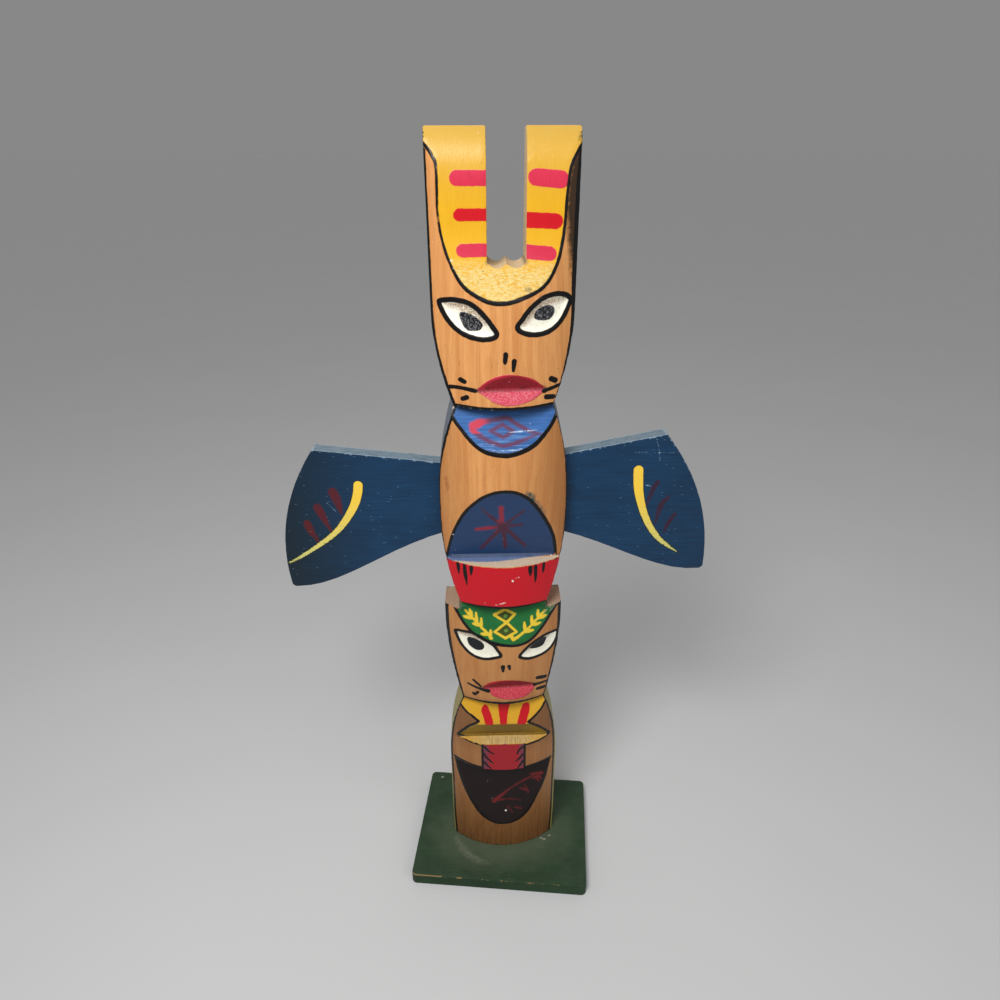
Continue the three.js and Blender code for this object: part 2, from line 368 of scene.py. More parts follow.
WHISKERS_UPPER = [
    [(-14.3, 231.1), (-13.0, 230.5)], [(-17.9, 228.2), (-14.2, 228.3), (-9.5, 227.7)],
    [(-13.7, 224.6), (-12.3, 225.2)], [(15.9, 230.9), (17.4, 230.0)],
    [(13.5, 227.0), (15.7, 227.5), (18.9, 228.2)], [(14.4, 224.8), (16.8, 224.5)],
]
print("upper head has", 4 + len(EAR_BARS) + len(WHISKERS_UPPER), "painted shapes or more")

# %% [markdown]
# ## The painter's shapes on the body
# The swelling body has two cuts. The upper one is light blue with a loose red diamond that was
# brushed wet into the blue. The lower one is a dark blue arch with an eight-armed star. Under it a
# red beak stands out, with three short black ticks at each side.

# %% Body and beak
BLUE_LINE = [(-18.4, 218.9), (-16.5, 215.8), (-14.5, 213.3), (-12.2, 210.5), (-9.8, 208.1), (-7.0, 206.2),
             (-4.1, 205.3), (-1.0, 204.8), (2.2, 204.8), (5.1, 205.4), (8.0, 206.5), (11.0, 208.2),
             (13.6, 210.8), (15.7, 213.3), (17.3, 215.8), (18.6, 218.4)]
DIAMOND_STROKES = [
    [(-6.9, 215.8), (-2.9, 216.3), (0.8, 216.9), (2.6, 216.2)],
    [(1.3, 216.8), (6.0, 214.1), (9.6, 212.4), (13.1, 211.7)],
    [(-10.9, 213.3), (-7.7, 210.9), (-4.1, 209.1), (0.1, 207.9)],
    [(0.1, 207.9), (4.3, 208.9), (9.1, 210.6), (12.5, 211.8)],
]
DIAMOND_WIDTHS = [(2.0, 1.6, 1.7), (1.5, 1.6, 0.8), (1.9, 1.7, 1.4), (1.4, 1.4, 0.7)]
DIAMOND_HEART = [(-4.4, 212.7), (-0.4, 214.8), (3.4, 212.6), (-0.1, 210.7)]
RED_DROP = [(-10.6, 214.5), (-6.9, 215.8)]
ARCH_LINE = [(-21.6, 159.4), (-21.4, 160.6), (-20.4, 165.3), (-19.1, 170.3), (-17.4, 174.8),
             (-15.3, 179.2), (-13.1, 182.6),
             (-10.3, 185.7), (-7.2, 188.4), (-4.2, 190.0), (-1.3, 190.7), (1.7, 190.8), (4.7, 190.1),
             (7.5, 188.5), (10.0, 186.1), (12.4, 182.7), (14.8, 178.6), (17.0, 174.1), (18.7, 169.5),
             (19.5, 165.3), (20.1, 160.2), (20.2, 159.4)]
GREEN_SMEAR = [(7.8, 190.9), (9.6, 190.4), (11.2, 188.4), (12.2, 185.4), (10.6, 184.0), (9.2, 186.4),
               (8.0, 188.9)]
GREEN_TAIL = [(12.0, 185.6), (13.8, 182.6), (15.3, 179.6)]
STAR_ARMS = [
    [(-0.5, 174.6), (-0.9, 183.4)], [(-0.6, 174.2), (-10.0, 173.1)], [(-0.5, 174.6), (-8.1, 183.0)],
    [(0.0, 174.6), (7.3, 181.7)], [(0.0, 174.3), (6.7, 175.1)], [(-0.4, 173.9), (-8.4, 163.7)],
    [(-0.1, 173.8), (0.9, 164.0)], [(0.2, 173.9), (8.3, 164.7)],
]
STAR_WIDTHS = [(1.4, 1.8, 1.9), (1.3, 1.7, 1.5), (1.8, 1.5, 0.8), (1.5, 1.2, 1.0), (1.6, 1.5, 1.2),
               (2.0, 1.8, 1.4), (2.0, 1.8, 1.6), (2.0, 1.7, 1.3)]
BEAK_TOP, BEAK_FOOT = 160.0, 140.2
BEAK_TICKS = [
    [(-17.3, 158.7), (-17.0, 154.6)], [(-14.8, 158.6), (-14.6, 155.4), (-14.0, 150.1)],
    [(-12.2, 158.5), (-12.4, 155.1)], [(10.0, 158.4), (10.1, 154.9)],
    [(12.1, 158.4), (12.1, 151.4)], [(15.2, 158.6), (15.1, 154.7)],
]
BEAK_TICK_WIDTHS = [(1.2, 1.1, 0.5), (1.2, 1.3, 0.4), (1.3, 1.1, 0.5), (1.5, 1.3, 0.6), (1.2, 1.2, 0.4),
                    (1.1, 1.0, 0.4)]
print("body has", len(STAR_ARMS) + len(BEAK_TICKS) + len(DIAMOND_STROKES) + 5, "painted shapes")

# %% [markdown]
# ## The painter's shapes on the lower head and the foot
# The lower head wears a green band with a leafy branch at each side of two small diamonds. Under
# its chin are a yellow collar with three red tongues, a notch, a red bib between two hatched
# strips, and a dark apron with faint red branches.

# %% Lower head, collar, bib and apron
GREEN_LINE = [(-19.3, 138.3), (-17.1, 134.1), (-15.2, 131.2), (-12.9, 128.6), (-10.0, 126.6), (-6.7, 124.9),
              (-3.0, 123.7), (0.6, 123.0), (4.3, 122.7), (7.3, 123.0), (10.3, 124.2), (12.9, 126.4),
              (15.3, 129.3), (17.3, 132.1), (19.2, 135.1), (21.6, 138.3)]
BAND_DIAMONDS = [
    [(-3.8, 135.0), (0.6, 136.9), (4.6, 135.1), (1.1, 131.9)],
    [(1.1, 131.9), (-3.6, 128.4), (0.7, 125.9), (5.1, 128.3)],
]
BRANCHES = [
    [(-15.1, 136.9), (-11.7, 133.2), (-8.8, 130.3), (-4.8, 126.0)],
    [(16.5, 136.3), (13.2, 133.1), (9.5, 129.3), (4.3, 125.5)],
]
LEAVES = [
    [(-15.7, 134.6), (-12.8, 133.7)], [(-13.4, 137.3), (-12.4, 134.6)], [(-10.9, 135.8), (-10.6, 132.1)],
    [(-12.1, 131.8), (-9.5, 131.0)], [(-8.8, 133.7), (-8.8, 129.9)], [(-8.8, 127.8), (-6.7, 127.4)],
    [(-5.2, 129.2), (-5.2, 125.9)], [(13.6, 136.4), (13.6, 133.3)], [(16.9, 134.4), (13.9, 133.3)],
    [(11.1, 134.2), (11.1, 131.4)], [(14.6, 131.6), (11.3, 130.8)], [(8.2, 131.8), (8.4, 128.6)],
    [(11.7, 128.9), (8.7, 128.2)], [(2.9, 127.3), (3.7, 125.0)],
]
EYE_LOWER_LEFT = [(-19.2, 126.9), (-16.2, 127.7), (-12.9, 127.9), (-9.6, 126.6), (-6.7, 124.9),
                  (-4.1, 123.0),
                  (-2.3, 120.3), (-1.2, 117.9), (-3.4, 116.9), (-6.8, 116.0), (-10.1, 116.1), (-13.1,
                                                                                               117.2),
                  (-15.5, 119.2), (-17.5, 121.9), (-18.7, 124.7)]
EYE_LOWER_RIGHT = [(6.4, 116.9), (7.9, 119.4), (10.3, 121.8), (13.3, 123.7), (16.7, 124.9), (20.0, 125.0),
                   (22.0, 124.5), (21.8, 121.6), (20.5, 118.8), (18.6, 116.8), (16.2, 115.8), (13.1, 115.3),
                   (9.6, 115.3)]
PUPIL_LOWER_LEFT = [(-14.6, 124.2), (-13.5, 125.3), (-11.0, 125.0), (-8.8, 123.9), (-7.8, 122.3),
                    (-8.3, 120.4),
                    (-10.3, 119.5), (-12.3, 120.0), (-14.0, 121.6)]
PUPIL_LOWER_RIGHT = [(10.4, 120.0), (11.8, 122.2), (13.9, 123.5), (16.2, 124.0), (17.3, 123.2),
                     (16.9, 121.3),
                     (15.7, 119.5), (13.5, 119.2)]
NOSTRILS_LOWER = [[(-0.4, 112.6), (-0.3, 110.0)], [(2.1, 112.6), (2.4, 110.9)]]
MOUTH_LOWER = [(-8.7, 100.5), (-6.2, 103.7), (-2.4, 105.1), (2.1, 105.3), (6.7, 104.3), (10.6, 102.5),
               (13.0, 100.5), (11.6, 97.7), (9.5, 95.9), (6.4, 95.1), (2.2, 95.1), (-1.7, 95.8),
               (-4.7, 97.3), (-6.4, 99.3)]
WHISKERS_LOWER = [
    [(-12.4, 104.0), (-9.6, 101.5)], [(-14.8, 101.5), (-11.2, 100.4), (-6.4, 99.3)],
    [(-12.6, 97.0), (-12.0, 96.5), (-10.7, 98.1)], [(13.9, 104.1), (17.3, 103.2)],
    [(12.6, 100.7), (15.8, 100.7), (19.4, 100.6)], [(14.2, 98.2), (16.8, 97.9)],
]
COLLAR_LEFT = [(-18.3, 89.0), (-17.7, 87.8), (-15.8, 85.6), (-13.4, 83.9), (-10.7, 81.6)]
COLLAR_LEFT_NOTCH = [(-10.7, 81.6), (-15.1, 77.6), (-19.8, 70.9)]
COLLAR_LEFT_LIP = [(-19.8, 70.4), (-17.1, 69.4), (-13.4, 68.8), (-9.5, 68.5)]
COLLAR_RIGHT = [(18.3, 90.2), (17.5, 89.1), (16.1, 86.5), (13.7, 83.7), (10.4, 80.9)]
COLLAR_RIGHT_NOTCH = [(10.4, 80.9), (15.1, 76.7), (20.0, 70.2)]
COLLAR_RIGHT_LIP = [(20.0, 69.6), (15.3, 68.4), (9.4, 68.2)]
COLLAR_TONGUES = [
    [(-8.1, 88.8), (-9.6, 86.5), (-8.8, 84.0), (-7.6, 79.9), (-4.5, 79.9), (-5.2, 83.9), (-6.7, 87.9)],
    [(-2.0, 92.5), (-2.2, 86.4), (-1.8, 83.2), (-1.3, 79.9), (1.2, 79.9), (1.5, 83.1), (2.2, 87.0),
     (3.0, 92.5)],
    [(8.4, 88.6), (7.2, 86.2), (6.3, 83.0), (5.8, 79.9), (9.2, 79.9), (10.3, 83.3), (11.1, 86.4),
     (10.6, 89.2)],
]
BIB_TOP, BIB_FOOT = 69.3, 54.3
BIB_LEFT, BIB_RIGHT = -9.3, 9.1
STRIP_LEFT, STRIP_RIGHT = -6.9, 6.9
HATCHES = [
    [(-8.5, 67.6), (-6.8, 65.2), (-4.1, 62.8)], [(-8.8, 63.6), (-7.2, 60.6), (-4.7, 57.5)],
    [(-8.7, 58.5), (-6.9, 55.9), (-5.6, 54.2)], [(8.4, 67.2), (6.6, 65.2), (5.8, 62.7)],
    [(8.4, 62.8), (6.7, 60.1), (5.2, 58.5)], [(8.3, 58.6), (7.0, 55.9), (6.2, 54.2)],
]
APRON_LINE = [(-21.6, 56.0), (-20.8, 51.5), (-20.0, 47.0), (-17.3, 38.0), (-13.6, 30.0), (-9.8, 24.4),
              (-4.7, 21.1), (-0.8, 20.5), (3.8, 21.1), (7.7, 23.1), (11.6, 27.3), (15.4, 35.4),
              (18.6, 43.2), (20.9, 54.8)]
APRON_TOP_LEFT = [(-21.8, 56.2), (-15.6, 55.6), (-9.6, 55.2)]
APRON_TOP_RIGHT = [(9.5, 54.9), (15.0, 55.0), (20.9, 54.8)]
APRON_BRANCHES = [
    [(-4.4, 32.5), (-2.6, 34.0), (2.6, 38.6)], [(2.6, 38.6), (9.6, 43.1), (16.9, 46.8)],
    [(12.1, 46.0), (17.2, 46.3)], [(14.1, 44.4), (16.0, 42.2)], [(7.7, 38.8), (11.5, 37.3)],
    [(9.6, 40.6), (11.2, 36.5)], [(1.9, 29.5), (3.8, 26.5)], [(5.1, 29.0), (8.0, 28.2)],
    [(-3.2, 32.8), (2.0, 33.4), (7.6, 32.6)], [(13.4, 43.6), (15.6, 44.8), (17.0, 43.6)],
]
APRON_BRANCH_WIDTHS = [(2.4, 1.8, 0.9), (0.9, 0.9), (0.9, 1.8), (1.4, 0.8), (1.1, 0.7), (0.8, 0.9),
                       (0.7, 0.8), (0.6, 0.8), (1.2, 0.7, 0.4), (1.0, 1.8, 1.0)]
print("lower half has", len(LEAVES) + len(WHISKERS_LOWER) + len(HATCHES) + len(APRON_BRANCHES),
      "small strokes")


# %% [markdown]
# ## The black lines down the front corners
# A black line follows each front corner, and outside it the paint of the sides shows as a sliver.
# Its place is given as a distance in from the corner, so that it follows the carved outline. Each
# row holds a height, the distance in from the corner and the width of the line there.

# %% Lines along the front corners
RIM_LEFT = [
    (5, 0.9, 0.9), (45, 0.9, 0.9), (60, 0.5, 0.9), (89, 0.3, 0.8), (93.4, 0.6, 1.3), (125, 0.7,
                                                                                      1.6), (138, 0.6, 1.8),
    (138.2, -1.0, 0.0), (159.8, -1.0, 0.0), (160.2, 0.3, 0.5), (197, 0.3, 0.6), (207, 0.9, 0.9), (221.6,
                                                                                                  2.0, 0.9),
    (221.8, 1.8, 1.2), (229, 1.2, 1.3), (240, 0.6, 1.2), (260, 0.45, 1.1), (299.6, 0.35, 0.9),
    (300.6, -1.0, 0.0), (306, -1.0, 0.0),
]
RIM_RIGHT = [
    (5, 1.2, 0.9), (60, 1.1, 0.9), (75, 0.7, 0.9), (89, 0.4, 0.8), (93.4, 0.5, 1.1), (115, 0.6,
                                                                                      1.3), (138, 0.8, 1.4),
    (138.2, -1.0, 0.0), (159.8, -1.0, 0.0), (160.2, 0.25, 0.5), (205, 0.3, 0.5), (221.6, 0.9, 0.7),
    (221.8, 1.0, 1.1), (229, 0.7, 1.1), (245, 0.6, 1.4), (262, 0.8, 2.0), (290, 0.7, 1.8), (299.0, 0.5,
                                                                                            1.1),
    (300.6, -1.0, 0.0), (306, -1.0, 0.0),
]


def corner_reach(points):
    """How far to the side the pole reaches at each height."""
    heights = np.arange(6.0, 305.5, 0.5)
    reach = np.array([np.abs(points[np.abs(points[:, 2] - h) < 0.7, 0]).max() for h in heights])
    return heights, reach


def lay_rims(points):
    """Distance outwards from the middle of the corner line, and half the line's width."""
    heights, reach = corner_reach(points)
    outer = np.interp(points[:, 2], heights, reach)
    left = points[:, 0] < 0
    rim, half = np.empty(len(points)), np.empty(len(points))
    for rows, side in ((RIM_LEFT, left), (RIM_RIGHT, ~left)):
        table = np.array(rows)
        inset = np.interp(points[side, 2], table[:, 0], table[:, 1])
        rim[side] = np.abs(points[side, 0]) - outer[side] + inset
        half[side] = np.interp(points[side, 2], table[:, 0], table[:, 2]) / 2
    return np.clip(rim, FAR, -FAR), half


# %% [markdown]
# ## From shapes to attributes
# One attribute holds one paint. All the black strokes share one, all the yellow areas another, and
# so on, because areas of the same paint never need to be told apart except by their height.

# %% All paints of the pole
PAINTS = ["yellow", "blue", "green", "dark", "red", "mauve", "glaze", "leaf", "white", "scrape", "pupil",
          "black", "pale", "smear_and_shade"]
EYES = (EYE_UPPER_LEFT, EYE_UPPER_RIGHT, EYE_LOWER_LEFT, EYE_LOWER_RIGHT)
PUPILS = (PUPIL_UPPER_LEFT, PUPIL_UPPER_RIGHT, PUPIL_LOWER_LEFT, PUPIL_LOWER_RIGHT)
COLLAR = (COLLAR_LEFT + COLLAR_LEFT_NOTCH[1:] + COLLAR_LEFT_LIP + COLLAR_RIGHT_LIP[::-1]
          + COLLAR_RIGHT_NOTCH[1:][::-1] + COLLAR_RIGHT[::-1] + [(18.6, 93), (-18.6, 93)])


# Rows of a lower edge's height, how far its middle hangs, its half width and how far up that reaches.
UPPER_CHIN, BEAK_EDGE, LOWER_CHIN, BIB_EDGE = 221.6, 141.0, 93.4, 54.5
SAGS = [(UPPER_CHIN, 0.7, 19.0, 6.0), (BEAK_EDGE, 0.7, 17.0, 6.0), (LOWER_CHIN, 0.8, 19.0, 6.0),
        (BIB_EDGE, 1.2, 10.5, 6.0)]


def sagged(foot, above):
    """A line along a hanging lower edge, a little above it."""
    depth, half_width = next(row[1:3] for row in SAGS if row[0] == foot)
    return [(x, foot + above - depth * max(0.0, 1 - (x / half_width) ** 2)) for x in (-20, -14, -7, 0,
                                                                                      7, 14, 20)]


def lay_fields(layers, spots):
    """The broad areas."""
    lay_area(layers["yellow"], spots, list(curve_through(SCOOP_LINE)) + [(24, 312), (-24, 312)])
    lay_area(layers["yellow"], spots, COLLAR)
    lay_area(layers["blue"], spots, list(curve_through(BLUE_LINE)) + [(18.8, 221.6), (-18.8, 221.6)])
    lay_area(layers["blue"], spots, curve_through(ARCH_LINE))
    lay_area(layers["green"], spots, list(curve_through(GREEN_LINE)) + [(19, 141.2), (-19, 141.2)])
    lay_area(layers["dark"], spots, curve_through(APRON_LINE))
    for diamond in BAND_DIAMONDS:
        lay_area(layers["dark"], spots, diamond)
    for mouth in (MOUTH_UPPER, MOUTH_LOWER):
        lay_area(layers["red"], spots, mouth, smooth=True)
    lay_area(layers["red"], spots, [(-26, BEAK_FOOT), (26, BEAK_FOOT), (26, BEAK_TOP), (-26, BEAK_TOP)])
    for tongue in COLLAR_TONGUES:
        lay_area(layers["red"], spots, tongue, smooth=True)
    bib = [(BIB_LEFT, BIB_FOOT), (-5.0, 52.4), (0.0, 51.7), (5.0, 52.2), (BIB_RIGHT, BIB_FOOT),
           (BIB_RIGHT, BIB_TOP),
           (BIB_LEFT, BIB_TOP)]
    lay_area(layers["red"], spots, bib)
    for edge, strip in ((BIB_LEFT, STRIP_LEFT), (BIB_RIGHT, STRIP_RIGHT)):
        lay_area(layers["mauve"], spots, [(edge, BIB_FOOT), (strip, BIB_FOOT), (strip, BIB_TOP),
                                          (edge, BIB_TOP)])
    for eye in EYES:
        lay_area(layers["white"], spots, eye, smooth=True)
    for pupil in PUPILS:
        lay_area(layers["pupil"], spots, pupil, smooth=True)


# %% Strokes in colour
def lay_motifs(layers, spots):
    for bar, width in zip(EAR_BARS, EAR_BAR_WIDTHS):
        lay_stroke(layers["red"], spots, bar, width * 0.98)
    for strokes, widths in ((DIAMOND_STROKES, DIAMOND_WIDTHS), (STAR_ARMS, STAR_WIDTHS),
                            (APRON_BRANCHES, APRON_BRANCH_WIDTHS)):
        for stroke, width in zip(strokes, widths):
            lay_stroke(layers["glaze"], spots, stroke, width)
    lay_stroke(layers["glaze"], spots, DIAMOND_HEART, 1.4, smooth=False, closed=True)
    lay_stroke(layers["glaze"], spots, RED_DROP, (2.6, 3.0, 2.0))
    for diamond in BAND_DIAMONDS:
        lay_stroke(layers["leaf"], spots, diamond, 0.95, smooth=False, closed=True)
    for branch in BRANCHES:
        lay_stroke(layers["leaf"], spots, branch, (0.9, 0.9, 1.2))
    for leaf in LEAVES:
        lay_stroke(layers["leaf"], spots, leaf, (0.8, 1.4, 0.9))
    for lid in SCRAPED_LIDS:
        lay_stroke(layers["scrape"], spots, lid, (1.8, 3.4, 2.0))
    for spot in ((0.6, 134.4), (0.8, 128.8)):
        lay_stroke(layers["pale"], spots, [spot, (spot[0] + 0.3, spot[1])], 1.5)


# %% Strokes in black, chips and stains
def lay_lines(layers, spots):
    black = layers["black"]
    for eye, width in zip(EYES, (1.75, 1.7, 1.4, 1.4)):
        lay_stroke(black, spots, eye, width, closed=True)
    lay_stroke(black, spots, SCOOP_LINE, (1.1, 0.9, 0.8, 0.95, 1.3, 1.5, 1.3, 1.1, 1.0, 0.9, 1.1))
    lay_stroke(black, spots, BLUE_LINE, (1.2, 1.4, 1.8, 1.8, 1.4))
    lay_stroke(black, spots, ARCH_LINE, (1.0, 1.3, 1.5, 1.5, 1.2))
    lay_stroke(black, spots, GREEN_LINE, 1.35)
    lay_stroke(black, spots, APRON_LINE, 1.0)
    for line in (APRON_TOP_LEFT, APRON_TOP_RIGHT, COLLAR_LEFT, COLLAR_LEFT_NOTCH, COLLAR_LEFT_LIP,
                 COLLAR_RIGHT,
                 COLLAR_RIGHT_NOTCH, COLLAR_RIGHT_LIP):
        lay_stroke(black, spots, line, 1.15)
    for edge in (BIB_LEFT, BIB_RIGHT):
        lay_stroke(black, spots, [(edge, BIB_TOP), (edge, BIB_FOOT)], 1.0)
    for nostril, widths in zip(NOSTRILS_UPPER + NOSTRILS_LOWER,
                               ((1.7, 1.5), (1.8, 1.2), (1.9, 1.1), (1.6, 0.9))):
        lay_stroke(black, spots, nostril, widths)
    for whisker, width in zip(WHISKERS_UPPER, (1.7, (1.4, 1.4, 1.6), 1.7, 1.9, (1.6, 1.4, 1.3), 1.8)):
        lay_stroke(black, spots, whisker, width)
    for whisker, width in zip(WHISKERS_LOWER, (1.2, (1.0, 1.3, 1.8), 1.3, 1.7, (1.4, 1.3, 1.0), 1.7)):
        lay_stroke(black, spots, whisker, width)
    for hatch in HATCHES:
        lay_stroke(black, spots, hatch, (1.0, 1.0, 0.6))
    for tick, widths in zip(BEAK_TICKS, BEAK_TICK_WIDTHS):
        lay_stroke(black, spots, tick, [width * 1.2 for width in widths])
    # Black along the lower edges of the two chins is black paint widened by painted shade; along the beak's
    # lower edge it is painted shade.
    for foot, above, width in ((UPPER_CHIN, 0.3, 1.9), (LOWER_CHIN, 0.4, (0.6, 1.7, 1.7, 0.6)),
                               (BEAK_EDGE, 0.6, (0.3, 1.7, 1.7, 0.3))):
        lay_stroke(black, spots, sagged(foot, above), width)

    pale = layers["pale"]
    for spot, width in (((3.3, 153.4), 1.0), ((4.5, 154.5), 0.55), ((5.4, 154.8), 0.6), ((0.8, 27.3), 0.8),
                        ((-17.4, 220.4), 1.2), ((-16.2, 268.4), 0.8), ((-15.3, 266.4),
                                                                       0.7), ((-18.9, 170.6), 0.8)):
        lay_stroke(pale, spots, [spot, (spot[0] + 0.2, spot[1])], width)
    lay_stroke(pale, spots, [(-3.2, 142.5), (0.7, 143.7)], (0.3, 0.6))
    lay_stroke(pale, spots, [(-6.5, 68.9), (0.0, 68.8), (6.5, 68.9)], (0.2, 0.6, 0.5, 0.2))
    for scratch in ([(15.9, 135.7), (19.6, 138.0)], [(18.4, 135.8), (20.4, 137.6)]):
        lay_stroke(pale, spots, scratch, 0.45)
    # Pale streaks low in the blue cut.
    for scrape in ([(-6.0, 206.7), (0.5, 206.3), (6.4, 207.0)], [(-7.8, 208.8), (-3.0, 208.3)],
                   [(1.5, 212.2), (11.6, 212.9)]):
        lay_stroke(pale, spots, scrape, (0.2, 0.5, 0.25))

    # Smears and stains, and the dark band on the right ear, which is partly painted shade.
    smear_and_shade = layers["smear_and_shade"]
    lay_area(smear_and_shade, spots, EAR_SMEAR_AND_SHADE)
    for stain in ([(7.2, 260.0), (7.9, 259.9)], [(-20.7, 193.5), (-20.3, 189.0)],
                  [(22.8, 302.6), (23.8, 303.2)]):
        lay_stroke(smear_and_shade, spots, stain, 1.6)
    lay_area(smear_and_shade, spots, GREEN_SMEAR, smooth=True)
    lay_stroke(smear_and_shade, spots, GREEN_TAIL, (1.9, 1.6, 0.7))


def paint_pole(points):
    spots = points[:, [0, 2]]
    layers = {name: np.full(len(points), FAR) for name in PAINTS}
    lay_fields(layers, spots)
    lay_motifs(layers, spots)
    lay_lines(layers, spots)
    return layers


LEDGE_HEIGHT, SHELF_HEIGHT = 159.7, 69.3


def hold_back(layers, points, facing):
    """Level tops are bare wood, except the notch's floor and the back of the ledge above the beak."""
    on_ledge = np.abs(points[:, 2] - LEDGE_HEIGHT) < 0.7
    level = (facing[:, 2] > 0.85) | (on_ledge & (facing[:, 2] > 0.6))
    for foot, *_ in SAGS:
        level &= np.abs(points[:, 2] - foot) > 2.0
    for layer in layers.values():
        layer[level] = FAR
    notch_floor = level & (np.abs(points[:, 2] - SHELF_HEIGHT) < 1.2)
    layers["yellow"][notch_floor] = -FAR
    ledge = level & (np.abs(points[:, 2] - LEDGE_HEIGHT) < 0.8)
    blue_front = np.interp(points[:, 0], (-20, -9, -2, 5, 11, 20), (-5.6, -7.4, -7.0, -5.7, -4.0, -2.6))
    layers["blue"][ledge] = (points[:, 1] - blue_front)[ledge]
    back_line = points[ledge, 1].max() - 0.5
    fading_off = np.interp(points[:, 0], (-6, -3, -2, 9, 14), (-2.0, -0.2, 0.0, 0.1, -2.0))
    layers["pale"][ledge] = (points[:, 1] - back_line + fading_off)[ledge]


# %% [markdown]
# ## Finer faces where the brush went
# Even small faces are too coarse for a line less than a millimetre wide. The faces that a painted
# edge or a corner line crosses are therefore cut in four before the final depths are worked out,
# those under the shortest black strokes once more, and the plain wood keeps its larger faces.

# %% Refine along the painted edges
TURNED_FORWARD = -0.25


def refine(piece, chosen):
    pick(piece)
    bpy.ops.object.mode_set(mode="EDIT")
    bpy.ops.mesh.select_mode(type="VERT")
    bpy.ops.mesh.select_all(action="DESELECT")
    bpy.ops.object.mode_set(mode="OBJECT")
    piece.data.vertices.foreach_set("select", chosen)
    bpy.ops.object.mode_set(mode="EDIT")
    bpy.ops.mesh.select_mode(type="FACE")
    bpy.ops.mesh.subdivide(number_cuts=1, quadcorner="INNERVERT")
    bpy.ops.mesh.select_all(action="DESELECT")
    bpy.ops.object.mode_set(mode="OBJECT")
    print(piece.name, "now has", triangles_of(piece), "triangles")


def small_lines(spots):
    """The shortest black strokes, which need the finest faces."""
    layer = np.full(len(spots), FAR)
    for stroke in (WHISKERS_UPPER + WHISKERS_LOWER + HATCHES + BEAK_TICKS + NOSTRILS_UPPER + NOSTRILS_LOWER):
        lay_stroke(layer, spots, stroke, 1.0)
    return layer


def crossed_by_paint(piece, layers, rim, within):
    crossed = np.abs(rim) < within
    for name, layer in layers.items():
        if name not in ("smear_and_shade", "scrape", "mauve"):
            crossed |= np.abs(layer) < within
    return crossed & (normals(piece)[:, 1] < TURNED_FORWARD)


def keep_values(piece, name, values):
    attribute = piece.data.attributes.new(name, "FLOAT", "POINT")
    attribute.data.foreach_set("value", values.astype(np.float32))


first_points = places(pole)
first_rim, _ = lay_rims(first_points)
refine(pole, crossed_by_paint(pole, paint_pole(first_points), first_rim, within=0.72))
second_points = places(pole)
refine(pole, (small_lines(second_points[:, [0, 2]]) > -0.45) & (normals(pole)[:, 1] < TURNED_FORWARD))
lay_on(pole, pole_rubbed)
draw_to_corners(pole, pole_outer)

# %% [markdown]
# ## What the knife left
# The eyes are hollowed like shallow dishes, so their upper halves look dark. The end grain of the
# scoop, the mouths and the level cuts is rough, and the long faces are a little wavy from hand
# sanding. All of it goes inwards, so that the piece stays inside its solid. The Displace
# modifier does that when its middle level is one.

# %% Hollow the eyes and roughen the cuts
DISH_DEPTH = {"upper": 0.75, "lower": 0.5}


def hollow_eyes(piece):
    points, facing = places(piece), normals(piece)
    for eyes, depth in ((EYES[:2], DISH_DEPTH["upper"]), (EYES[2:], DISH_DEPTH["lower"])):
        white = np.full(len(points), FAR)
        for eye in eyes:
            lay_area(white, points[:, [0, 2]], eye, smooth=True)
        share = np.clip((white - 0.2) / 2.0, 0, 1)
        bowl = share * share * (3 - 2 * share) * (facing[:, 1] < -0.3)
        points = points - facing * (bowl * depth)[:, None]
    move_to(piece, points)


def sag_lower_edges(piece):
    """The chins, the beak and the bib were cut round, so their lower edges hang in the middle."""
    points, facing = places(piece), normals(piece)
    for foot, depth, half_width, reach in SAGS:
        x, y, z = points.T
        under = (np.abs(z - foot) < 0.5) & (facing[:, 2] < -0.7) & (np.abs(x) < 8)
        front_y, inner_y = y[under].min(), y[under].max()
        outwards = np.clip((inner_y - y) / (inner_y - front_y), 0, 1)
        upwards = np.clip(1 - (z - foot) / reach, 0, 1) * (z > foot - 0.5)
        middle = np.clip(1 - (x / half_width) ** 2, 0, 1)
        points[:, 2] = z - depth * middle * upwards * outwards
        print("lower edge at", foot, "mm reaches from y", round(front_y, 2), "to", round(inner_y, 2), "mm")
    move_to(piece, points)


def roughen(piece, name, chosen, depth, size):
    texture = bpy.data.textures.new(name, "CLOUDS")
    texture.noise_scale = size * MM
    texture.noise_depth = 2
    group = piece.vertex_groups.new(name=name)
    group.add([int(i) for i in np.flatnonzero(chosen)], 1.0, "REPLACE")
    apply(piece, "DISPLACE", texture=texture, strength=depth * MM, mid_level=1.0, vertex_group=name)
    piece.vertex_groups.remove(piece.vertex_groups[name])


def ease(piece, name, chosen, rounds):
    """Rubs out the flats that a curved face was cut in."""
    group = piece.vertex_groups.new(name=name)
    group.add([int(i) for i in np.flatnonzero(chosen)], 1.0, "REPLACE")
    apply(piece, "SMOOTH", factor=0.5, iterations=rounds, vertex_group=name)
    piece.vertex_groups.remove(piece.vertex_groups[name])


